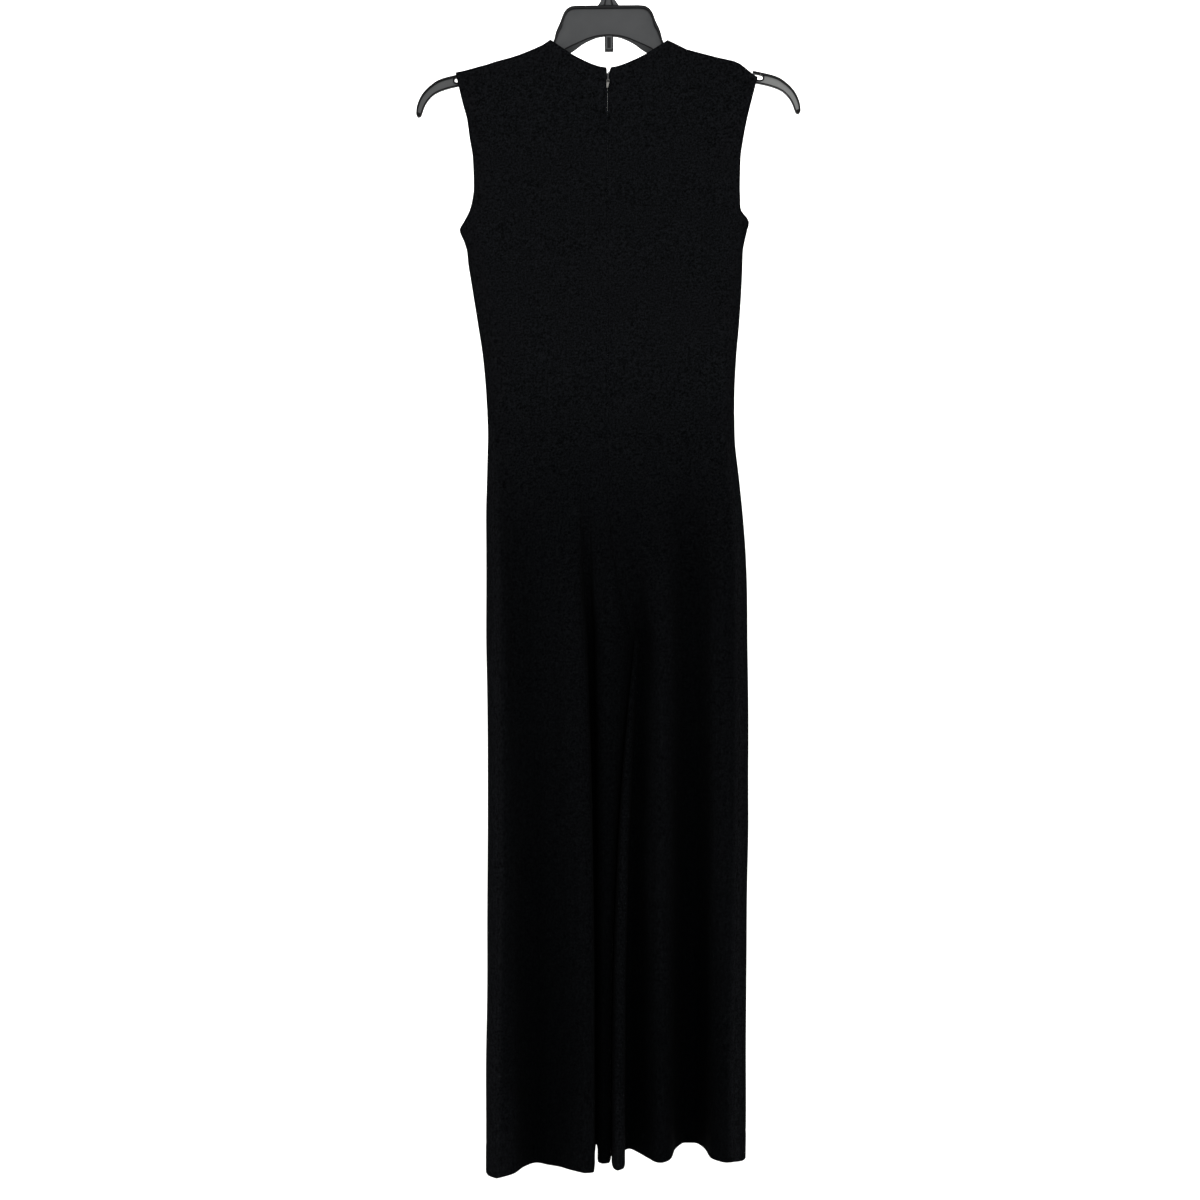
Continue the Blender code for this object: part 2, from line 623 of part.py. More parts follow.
def hook_path():
    """Centre, direction and half height of the hook's bar from its foot to its tip."""
    centre_z = -(HOOK_RADIUS - HOOK_BAR)
    stem = [((0.0, HEAD_Z + 0.3), 11.2), ((0.0, -74.5), 9.6), ((0.3, -71.0), 8.0),
            ((2.0, -64.0), 6.4), ((6.5, -55.5), 5.2), ((13.0, -47.0), 4.6),
            ((20.0, -38.0), HOOK_BAR), ((24.8, -30.0), HOOK_BAR)]
    bow = []
    for k in range(HOOK_STEPS + 1):
        angle = math.radians(HOOK_TURN * k / HOOK_STEPS)
        place = (HOOK_RADIUS * math.cos(angle), centre_z + HOOK_RADIUS * math.sin(angle))
        bow.append((place, HOOK_BAR))
    tip = [((-22.4, -36.5), 3.8), ((-20.6, -39.3), 2.2)]
    return stem + bow + tip


def build_hook(collection, plastic, root):
    """Moulded hook: an oval bar along its path, with a wide foot on the head."""
    path = hook_path()
    corners = ((1, 0.55), (0.62, 1), (-0.62, 1), (-1, 0.55), (-1, -0.55), (-0.62, -1),
               (0.62, -1), (1, -0.55))
    sections = []
    for k, ((x, z), half) in enumerate(path):
        before = path[max(k - 1, 0)][0]
        after = path[min(k + 1, len(path) - 1)][0]
        way = (Vector(after) - Vector(before)).normalized()
        if k < 2:
            way = Vector((0, 1))
        across = Vector((way.y, -way.x))
        deep = HOOK_HALF if half > 3 else HOOK_HALF * 0.7
        sections.append([(x + across.x * half * a, deep * b, z + across.y * half * a)
                         for a, b in corners])
    hook = add_object("hanger_hook", loft("hanger_hook", sections), plastic, collection)
    hook.parent = root


def main():
    """Builds the part."""
    for old in list(bpy.data.objects):
        bpy.data.objects.remove(old)
    scene = bpy.context.scene
    collection = bpy.data.collections.new("jumpsuit_on_hanger")
    cutters = bpy.data.collections.new("cutters")
    scene.collection.children.link(collection)
    scene.collection.children.link(cutters)

    crepe = material("black_crepe", (0.008, 0.008, 0.010), 0.85)
    plastic = material("charcoal_plastic", (0.035, 0.036, 0.038), 0.45)
    metal = material("nickel_zip", (0.62, 0.62, 0.63), 0.3, 1.0)

    build_cloth(collection, crepe)
    build_zip(collection, cutters, crepe, metal)
    swing = bpy.data.objects.new("hanger_swing", None)
    swing.rotation_euler = (0.0, -math.radians(TILT), 0.0)
    collection.objects.link(swing)
    build_hanger(collection, cutters, plastic, swing)


main()
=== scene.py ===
"""Look of a black sleeveless wide-leg jumpsuit that hangs on a charcoal moulded hanger.

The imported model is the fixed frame.  Tables are in millimetres in the frame's own axes: +Z is
up, the garment's back with its zip faces -Y, and +X is the wearer's right.  The origin is the
inside top of the hanger's hook.
"""

import logging
import math
from collections.abc import Iterable, Sequence
from dataclasses import dataclass, field
from enum import Enum

import bmesh
import bpy
import numpy as np
from mathutils import Matrix, Vector


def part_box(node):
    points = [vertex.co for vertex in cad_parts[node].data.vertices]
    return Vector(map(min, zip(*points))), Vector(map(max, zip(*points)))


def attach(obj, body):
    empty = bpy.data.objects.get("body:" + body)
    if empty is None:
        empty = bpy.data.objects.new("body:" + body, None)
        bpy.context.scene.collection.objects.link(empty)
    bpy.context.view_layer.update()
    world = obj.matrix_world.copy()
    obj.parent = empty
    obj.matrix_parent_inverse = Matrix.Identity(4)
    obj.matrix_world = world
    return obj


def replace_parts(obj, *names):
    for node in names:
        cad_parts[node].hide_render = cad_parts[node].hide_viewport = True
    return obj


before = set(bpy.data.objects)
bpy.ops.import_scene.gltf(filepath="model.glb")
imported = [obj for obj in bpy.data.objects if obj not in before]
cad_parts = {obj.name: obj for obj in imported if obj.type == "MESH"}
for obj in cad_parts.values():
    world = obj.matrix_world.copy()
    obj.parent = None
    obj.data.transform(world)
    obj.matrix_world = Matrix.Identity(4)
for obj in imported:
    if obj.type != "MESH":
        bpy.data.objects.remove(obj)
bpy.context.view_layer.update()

MM = 0.001
GARMENT_BODY = "garment"
PULL_BODY = "pull"

log = logging.getLogger("jumpsuit")

Point = tuple[float, float, float]
Rows = tuple[tuple[float, ...], ...]


# ---------------------------------------------------------------- small tools
def linear(colour: str) -> tuple[float, float, float, float]:
    """Turns an sRGB hex colour to linear light.

    Args:
        colour: Six hex digits after a hash sign.

    Returns:
        Red, green, blue and an alpha of 1, in linear light.
    """
    parts = [int(colour[k:k + 2], 16) / 255 for k in (1, 3, 5)]
    light = [c / 12.92 if c <= 0.04045 else ((c + 0.055) / 1.055) ** 2.4 for c in parts]
    return light[0], light[1], light[2], 1.0


def add_node(tree: bpy.types.NodeTree, kind: str, settings: dict | None = None,
             links: dict | None = None) -> bpy.types.Node:
    """Adds one node to a material, with its settings and links.

    Args:
        tree: The material's node tree.
        kind: Blender's name of the node type.
        settings: Attribute, socket name or socket number to value, attributes first.
        links: Socket name or number of this node to the output that feeds it.

    Returns:
        The new node.
    """
    node = tree.nodes.new(kind)
    for key, value in (settings or {}).items():
        if isinstance(key, int) or key in node.inputs:
            node.inputs[key].default_value = value
        else:
            setattr(node, key, value)
    for key, output in (links or {}).items():
        tree.links.new(output, node.inputs[key])
    return node


def shape_keeping_curve(knots: np.ndarray, values: np.ndarray, at: np.ndarray) -> np.ndarray:
    """Smooth curve through given values that never swings past them.

    Args:
        knots: Rising positions of the values.
        values: One value or row of values for each knot.
        at: Positions at which the curve is wanted.

    Returns:
        One value or row of values for each position.
    """
    knots, values = np.asarray(knots, float), np.asarray(values, float)
    at = np.clip(np.asarray(at, float), knots[0], knots[-1])
    spread = (-1,) + (1,) * (values.ndim - 1)
    gap = np.diff(knots).reshape(spread)
    slope = np.diff(values, axis=0) / gap
    before, after = slope[:-1], slope[1:]
    first, second = 2 * gap[1:] + gap[:-1], gap[1:] + 2 * gap[:-1]
    rising = before * after > 0
    safe_before, safe_after = np.where(rising, before, 1), np.where(rising, after, 1)
    inner = np.where(rising, (first + second) / (first / safe_before + second / safe_after), 0)
    tangent = np.concatenate([slope[:1], inner, slope[-1:]])
    cell = np.clip(np.searchsorted(knots, at, side="right") - 1, 0, len(knots) - 2)
    width = gap[cell]
    t = ((at - knots[cell]).reshape(spread)) / width
    return (values[cell] * (1 + 2 * t) * (1 - t) ** 2 + tangent[cell] * width * t * (1 - t) ** 2
            + values[cell + 1] * t * t * (3 - 2 * t) + tangent[cell + 1] * width * t * t * (t - 1))


def ease(value: np.ndarray | float) -> np.ndarray | float:
    """Eases a value in and out between 0 and 1."""
    value = np.clip(value, 0.0, 1.0)
    return value * value * (3 - 2 * value)


def unit(vectors: np.ndarray) -> np.ndarray:
    """Scales vectors in the last axis to length 1."""
    return vectors / np.maximum(np.linalg.norm(vectors, axis=-1, keepdims=True), 1e-9)


def running_length(points: np.ndarray) -> np.ndarray:
    """Distance of each point from the first, along a line of points."""
    return np.concatenate([[0], np.cumsum(np.linalg.norm(np.diff(points, axis=0), axis=1))])


def smooth_line(points: Sequence[Sequence[float]], count: int) -> np.ndarray:
    """A count of points on a smooth line through the given points."""
    last = len(points) - 1
    return shape_keeping_curve(np.arange(last + 1), np.array(points), np.linspace(0, last, count))


def put_in_scene(name: str, data: bpy.types.ID) -> bpy.types.Object:
    """Makes an object of a mesh, curve, light or camera and links it to the scene."""
    made = bpy.data.objects.new(name, data)
    bpy.context.scene.collection.objects.link(made)
    return made


def mesh_object(name: str, points: Iterable[Sequence[float]], faces: Iterable[Sequence[int]],
                finishes: Sequence[bpy.types.Material], smooth: bool = True) -> bpy.types.Object:
    """Makes a mesh object from points in millimetres.

    Args:
        name: Name of the piece.
        points: Corners, in millimetres.
        faces: Corner numbers of each face.
        finishes: Materials of the piece.
        smooth: Whether its faces are shaded smooth.

    Returns:
        The object, in the scene.
    """
    mesh = bpy.data.meshes.new(name)
    mesh.from_pydata([tuple(float(c) * MM for c in p) for p in points], [],
                     [tuple(int(k) for k in face) for face in faces])
    mesh.update()
    bm = bmesh.new()
    bm.from_mesh(mesh)
    bmesh.ops.recalc_face_normals(bm, faces=bm.faces)
    bm.to_mesh(mesh)
    bm.free()
    if smooth:
        mesh.shade_smooth()
    for finish in finishes:
        mesh.materials.append(finish)
    return put_in_scene(name, mesh)


def loft(name: str, sections: Sequence[Sequence[Point]],
         finishes: Sequence[bpy.types.Material]) -> bpy.types.Object:
    """Closed piece through sections of equal point counts, with an end face at each end.

    Args:
        name: Name of the piece.
        sections: Rings of points, in millimetres.
        finishes: Materials of the piece.

    Returns:
        The object.
    """
    count = len(sections[0])
    faces = [(count * k + a, count * k + (a + 1) % count, count * (k + 1) + (a + 1) % count,
              count * (k + 1) + a) for k in range(len(sections) - 1) for a in range(count)]
    faces.append(tuple(range(count)))
    faces.append(tuple(range(count * (len(sections) - 1), count * len(sections))))
    return mesh_object(name, [p for ring in sections for p in ring], faces, finishes)


def sweep_sections(path: Sequence[Point], profile: Sequence[tuple[float, float]],
                   flat_axis: Point) -> list[list[Point]]:
    """Rings of a flat or round bar along a path.

    Args:
        path: Centre points of the bar, in millimetres.
        profile: Outline of the bar: offsets along the flat axis, then square to it.
        flat_axis: Direction that the profile's first offset follows.

    Returns:
        One ring of points for each point of the path.
    """
    line = [Vector(p) for p in path]
    wide = Vector(flat_axis)
    rings = []
    for k, centre in enumerate(line):
        way = (line[min(k + 1, len(line) - 1)] - line[max(k - 1, 0)]).normalized()
        side = (wide - way * wide.dot(way)).normalized()
        lift = way.cross(side)
        rings.append([tuple(centre + side * a + lift * b) for a, b in profile])
    return rings


def rounded_profile(half_width: float, half_height: float, radius: float,
                    steps: int = 3) -> list[tuple[float, float]]:
    """Outline of a rectangle with round corners, in order round it."""
    outline = []
    for sx, sy, start in ((1, 1, 0), (-1, 1, 90), (-1, -1, 180), (1, -1, 270)):
        for k in range(steps + 1):
            angle = math.radians(start + 90 * k / steps)
            outline.append((sx * (half_width - radius) + radius * math.cos(angle),
                            sy * (half_height - radius) + radius * math.sin(angle)))
    return outline


def evaluated_mesh(made: bpy.types.Object) -> bpy.types.Mesh:
    """Mesh of an object as it is shown, with its modifiers or its curve worked out."""
    bpy.context.view_layer.update()
    shown = made.evaluated_get(bpy.context.evaluated_depsgraph_get())
    return bpy.data.meshes.new_from_object(shown)


def apply_modifiers(made: bpy.types.Object) -> None:
    """Replaces an object's mesh by its evaluated mesh and clears its modifiers."""
    mesh = evaluated_mesh(made)
    made.modifiers.clear()
    made.data = mesh


def soften_edges(made: bpy.types.Object, width: float, segments: int = 3) -> None:
    """Rounds an object's sharp edges by a width in millimetres."""
    bevel = made.modifiers.new("soft_edges", "BEVEL")
    bevel.width = width * MM
    bevel.segments = segments
    bevel.limit_method = "ANGLE"
    bevel.angle_limit = math.radians(30)
    apply_modifiers(made)
    made.data.shade_smooth()


def cut_away(made: bpy.types.Object, tool: bpy.types.Object) -> None:
    """Cuts a tool's shape out of an object and removes the tool."""
    cut = made.modifiers.new("cut", "BOOLEAN")
    cut.operation, cut.solver, cut.object = "DIFFERENCE", "EXACT", tool
    apply_modifiers(made)
    bpy.data.objects.remove(tool)


def merge_meshes(first: bpy.types.Object, others: Iterable[bpy.types.Object]) -> None:
    """Adds other objects' meshes to the first one's and removes the others."""
    bm = bmesh.new()
    for piece in (first, *others):
        bm.from_mesh(piece.data)
    bm.to_mesh(first.data)
    bm.free()
    for piece in others:
        bpy.data.objects.remove(piece)


def box_piece(name: str, low: Point, high: Point,
              finishes: Sequence[bpy.types.Material]) -> bpy.types.Object:
    """Plain block between two corners, to be cut, rounded or used as a cutting tool."""
    corners = [(x, y, z) for z in (low[2], high[2]) for y in (low[1], high[1])
               for x in (low[0], high[0])]
    faces = [(0, 1, 3, 2), (4, 5, 7, 6), (0, 1, 5, 4), (2, 3, 7, 6), (0, 2, 6, 4), (1, 3, 7, 5)]
    return mesh_object(name, corners, faces, finishes, smooth=False)


# ---------------------------------------------------------------- finishes
class Blank:
    """A new material, before its look: its node tree, shader and the object's coordinates."""

    def __init__(self, name: str) -> None:
        """Makes the material.

        Args:
            name: The material's name.
        """
        self.material = bpy.data.materials.new(name)
        self.material.use_nodes = True
        self.tree = self.material.node_tree
        self.shader = self.tree.nodes["Principled BSDF"]
        self.place = add_node(self.tree, "ShaderNodeTexCoord").outputs["Object"]

    def finished(self, values: dict[str, float],
                 links: dict[str, bpy.types.NodeSocket]) -> bpy.types.Material:
        """Sets the shader's plain values, joins its varying ones and gives the material."""
        for key, value in values.items():
            self.shader.inputs[key].default_value = value
        for key, output in links.items():
            self.tree.links.new(output, self.shader.inputs[key])
        return self.material


@dataclass(frozen=True)
class CrepeKnit:
    """Heavy polyester crepe jersey, knitted from twisted yarn and dyed black.

    The twisted yarn gives a dry pebbled face.  Deep folds are painted darker than the flat
    parts and the crests, as painted shade, so that shallow folds read on black cloth.
    """

    name: str = "black_crepe_knit"
    # Low and high places of the pebble, in deep folds (painted shade) and on the flat parts,
    # darker than dyed crepe measures.
    fold_shade_low: str = "#000001"
    fold_shade_high: str = "#030404"
    flat_low: str = "#010101"
    flat_high: str = "#121315"
    pebble_mm: float = 2.2     # the real pebble is 0.6 mm: drawn coarser to show
    roughness: float = 0.95
    specular: float = 0.005    # lower than a fibre's, so that the black stays deep
    sheen: float = 0.001

    def make(self) -> bpy.types.Material:
        """Builds the material.

        Returns:
            The crepe's material.
        """
        blank = Blank(self.name)
        tree, place = blank.tree, blank.place
        pebble = add_node(tree, "ShaderNodeTexNoise",
                          {"Scale": 1 / (self.pebble_mm * MM), "Detail": 4.0, "Roughness": 0.75},
                          {"Vector": place})
        tone = add_node(tree, "ShaderNodeMapRange",
                        {"From Min": 0.36, "From Max": 0.64}, {"Value": pebble.outputs["Fac"]})
        # deep: the painted shade of the deep folds; flat: the flat parts' own colour.
        deep, flat = (add_node(tree, "ShaderNodeMix",
                               {"data_type": "RGBA", 6: linear(low), 7: linear(high)},
                               {0: tone.outputs[0]})
                      for low, high in ((self.fold_shade_low, self.fold_shade_high),
                                        (self.flat_low, self.flat_high)))
        # Painted light and shade: the panels' attribute mixes the folds' painted shade with the
        # flat colour.
        painted_shade_mix = add_node(tree, "ShaderNodeAttribute", {"attribute_name": "painted_shade_and_light"})
        colour = add_node(tree, "ShaderNodeMix", {"data_type": "RGBA"},
                          {0: painted_shade_mix.outputs["Fac"], 6: deep.outputs[2], 7: flat.outputs[2]})
        fine = add_node(tree, "ShaderNodeBump", {"Strength": 0.45, "Distance": 0.3 * MM},
                        {"Height": pebble.outputs["Fac"]})
        return blank.finished(
            {"Roughness": self.roughness, "Specular IOR Level": self.specular,
             "Sheen Weight": self.sheen, "Sheen Roughness": 0.6},
            {"Base Color": colour.outputs[2], "Normal": fine.outputs[0]})


@dataclass(frozen=True)
class WovenTape:
    """Narrow polyester zip tape, woven in fine ribs and dyed black, with a dull soft face."""

    name: str = "black_woven_tape"
    thread: str = "#1a1a1c"
    gap: str = "#0c0c0e"
    rib_mm: float = 1.0        # the real ribs are 0.5 mm: drawn twice as coarse to show

    def make(self) -> bpy.types.Material:
        """Builds the material.

        Returns:
            The tape's material.
        """
        blank = Blank(self.name)
        tree, place = blank.tree, blank.place
        ribs = add_node(tree, "ShaderNodeTexWave",
                        {"wave_type": "BANDS", "bands_direction": "DIAGONAL",
                         "Scale": math.pi / 10 / (self.rib_mm * MM) / 2, "Distortion": 0.4},
                        {"Vector": place})
        colour = add_node(tree, "ShaderNodeMix",
                          {"data_type": "RGBA", 6: linear(self.gap), 7: linear(self.thread)},
                          {0: ribs.outputs["Fac"]})
        relief = add_node(tree, "ShaderNodeBump", {"Strength": 0.5, "Distance": 0.15 * MM},
                          {"Height": ribs.outputs["Fac"]})
        return blank.finished({"Roughness": 0.85, "Specular IOR Level": 0.2},
                              {"Base Color": colour.outputs[2], "Normal": relief.outputs[0]})


@dataclass(frozen=True)
class MouldedPlastic:
    """Injection-moulded plastic: smooth and dark where the tool is polished, else grained.

    The arms are painted lighter towards their ends, fully on the right arm and less on the left:
    painted light, for the light that the right arm catches.
    """

    name: str
    dark: str
    light: str
    painted_light_arm_end: str               # painted light: lighter colour at the end of the right arm
    roughness: float
    specular: float
    grain_mm: float            # pitch of the tool's grain, drawn about as coarse as it is
    grain_depth: float

    def make(self) -> bpy.types.Material:
        """Builds the material.

        Returns:
            The plastic's material.
        """
        blank = Blank(self.name)
        tree, place = blank.tree, blank.place
        grain = add_node(tree, "ShaderNodeTexNoise",
                         {"Scale": 1 / (self.grain_mm * MM), "Detail": 4.0, "Roughness": 0.6},
                         {"Vector": place})
        cloud = add_node(tree, "ShaderNodeTexNoise",
                         {"Scale": 1 / (18 * MM), "Detail": 2.0, "Roughness": 0.5},
                         {"Vector": place})
        shade = add_node(tree, "ShaderNodeMix",
                         {"data_type": "RGBA", 6: linear(self.dark), 7: linear(self.light)},
                         {0: cloud.outputs["Fac"]})
        # Painted light: the arms lighten towards their ends, fully on the right and to 0.17 on the
        # left.
        across = add_node(tree, "ShaderNodeSeparateXYZ", links={0: place})
        right, left = (add_node(tree, "ShaderNodeMapRange",
                                {"From Min": side * 120 * MM, "From Max": side * 185 * MM,
                                 "To Max": most, "interpolation_type": "SMOOTHSTEP"},
                                {"Value": across.outputs["X"]})
                       for side, most in ((1, 1.0), (-1, 0.17)))
        lighter = add_node(tree, "ShaderNodeMath", {"operation": "MAXIMUM"},
                           {0: right.outputs[0], 1: left.outputs[0]})
        colour = add_node(tree, "ShaderNodeMix",
                          {"data_type": "RGBA", 7: linear(self.painted_light_arm_end)},
                          {0: lighter.outputs[0], 6: shade.outputs[2]})
        relief = add_node(tree, "ShaderNodeBump",
                          {"Strength": self.grain_depth, "Distance": 0.08 * MM},
                          {"Height": grain.outputs["Fac"]})
        gloss = add_node(tree, "ShaderNodeMapRange",
                         {"To Min": self.roughness - 0.06, "To Max": self.roughness + 0.06},
                         {"Value": grain.outputs["Fac"]})
        return blank.finished({"IOR": 1.59, "Specular IOR Level": self.specular},
                              {"Base Color": colour.outputs[2], "Roughness": gloss.outputs[0],
                               "Normal": relief.outputs[0]})


@dataclass(frozen=True)
class NickelPlate:
    """Die-cast zinc with barrel-polished nickel plate, dulled by handling.

    Its reflections are soft, and on so small a piece it reads as a mid grey.
    """

    name: str = "nickel_plated_zinc"
    face: str = "#605f5c"
    worn: str = "#474644"
    roughness: float = 0.34

    def make(self) -> bpy.types.Material:
        """Builds the material.

        Returns:
            The metal's material.
        """
        blank = Blank(self.name)
        tree, place = blank.tree, blank.place
        tumble = add_node(tree, "ShaderNodeTexNoise",
                          {"Scale": 1 / (1.2 * MM), "Detail": 3.0}, {"Vector": place})
        colour = add_node(tree, "ShaderNodeMix",
                          {"data_type": "RGBA", 6: linear(self.worn), 7: linear(self.face)},
                          {0: tumble.outputs["Fac"]})
        relief = add_node(tree, "ShaderNodeBump", {"Strength": 0.15, "Distance": 0.05 * MM},
                          {"Height": tumble.outputs["Fac"]})
        return blank.finished({"Metallic": 1.0, "Roughness": self.roughness},
                              {"Base Color": colour.outputs[2], "Normal": relief.outputs[0]})


@dataclass(frozen=True)
class SeamlessPaper:
    """White studio paper, rolled out in one sweep, with an even matt face."""

    name: str = "white_seamless_paper"
    face: str = "#f6f6f5"
    fibre: str = "#f1f1f0"

    def make(self) -> bpy.types.Material:
        """Builds the material.

        Returns:
            The paper's material.
        """
        blank = Blank(self.name)
        tree, place = blank.tree, blank.place
        mottle = add_node(tree, "ShaderNodeTexNoise", {"Scale": 1.5, "Detail": 2.0},
                          {"Vector": place})
        colour = add_node(tree, "ShaderNodeMix",
                          {"data_type": "RGBA", 6: linear(self.fibre), 7: linear(self.face)},
                          {0: mottle.outputs["Fac"]})
        return blank.finished({"Roughness": 1.0, "Specular IOR Level": 0.1},
                              {"Base Color": colour.outputs[2]})


RIM_STYRENE = MouldedPlastic("charcoal_styrene_polished", "#08080a", "#0f0f10", "#0f0f10",
                             0.42, 0.08, 0.7, 0.2)
# Its last colour, the right arm's end, is painted light.
WEB_STYRENE = MouldedPlastic("charcoal_styrene_grained", "#323334", "#3a3b3c", "#6a6b6a",
                             0.62, 0.2, 0.9, 0.5)
LACQUERED_ZINC = NickelPlate("black_lacquered_zinc", "#454546", "#2e2e2f", 0.4)
COIL_NYLON = MouldedPlastic("black_nylon_monofilament", "#111113", "#19191b", "#19191b",
                            0.4, 0.4, 0.5, 0.1)


# ---------------------------------------------------------------- garment
class Side(Enum):
    """Side of the wearer."""

    LEFT = -1
    RIGHT = 1


class Facing(Enum):
    """Which way a panel faces."""

    BACK = -1
    FRONT = 1


class HighTable:
    """Values that change smoothly with height, from rows of height and values."""

    def __init__(self, rows: Rows) -> None:
        """Sorts the rows by rising height.

        Args:
            rows: Height, then one or more values.
        """
        ordered = np.array(sorted(rows))
        self.heights, self.values = ordered[:, 0], ordered[:, 1:]

    def at(self, z: float, column: int = 0) -> float:
        """Value of one column at a height."""
        return float(shape_keeping_curve(self.heights, self.values[:, column],
                                         np.array([z]))[0])


@dataclass(frozen=True)
class BodyForm:
    """The hung garment's outline and depth, shared by its four panels."""

    crotch_z: float = -878.0
    crotch_x: float = 33.0     # centre seam at the crotch
    hip_z: float = -600.0
    yoke_z: float = -250.0
    hem_z: float = -1527.0
    underarm_z: float = -361.0
    neck_share: float = 0.63
    side_roll: float = 14.0
    shoulder_roll: float = 2.4
    outline: HighTable = HighTable((
        (-160, -191.5, 191), (-182, -186.5, 185), (-203, -181.5, 179.7), (-223, -176, 174.8),
        (-248, -172.4, 170), (-273, -168.5, 166.5), (-311, -167.2, 165.6), (-323, -168.6, 165.9),
        (-336, -171.5, 166.3), (-353, -180, 177), (-361, -185.6, 175.5), (-375, -180.2, 172.2),
        (-389, -176.1, 169.8), (-402, -174.9, 169.4), (-424, -171.4, 168.6),
        (-474, -163.4, 165.5), (-525, -155.8, 161.1), (-575, -151.6, 159.1),
        (-625, -149.6, 159.2), (-676, -150.5, 163), (-726, -152.6, 166.9), (-776, -153, 170.5),
        (-878, -151, 175.4), (-1527, -149, 173.5)))
    half_depth: HighTable = HighTable((
        (-120, 8.5), (-250, 9.5), (-330, 12), (-400, 14), (-575, 16), (-676, 20), (-776, 24),
        (-878, 28), (-1527, 28)))
    armhole_turn: HighTable = HighTable((
        (-160, 1.25), (-215, 1.1), (-300, 0.9), (-350, 0.5), (-361, 0)))
    seam_wrap: HighTable = HighTable(((-120, 0), (-575, 0), (-650, 10), (-878, 12)))
    # How far each leg's outer edge swells out between the crotch and the hem: left, right.
    swell: HighTable = HighTable((
        (-878, 0, 0), (-1028, -0.9, 2.8), (-1103, -1.2, 3.1), (-1178, -1.5, 1.9),
        (-1253, -0.8, 1.6), (-1329, 0, 0.8), (-1404, 0.7, 0.2), (-1527, 0, 0)))
    swell_share: float = 0.3
    # How far the left and the right edge stand off the zip's middle.
    zip_mouth: HighTable = HighTable((
        (-1527, 0, 0), (-181.5, 0, 0), (-177.5, 0.5, 0.9), (-170, 0.5, 1.4), (-165.5, 0.6, 1.5),
        (-162, 0.8, 3), (-159.4, 1.3, 4)))


@dataclass(frozen=True)
class Crease:
    """A soft trough or ridge that runs along the cloth and fades at both ends."""

    path: tuple[tuple[float, float], ...]    # share of the panel's width, height
    width: float                             # distance over which it falls to a third
    rise: float                              # out of the cloth; a trough is negative
    wander: float = 1.5


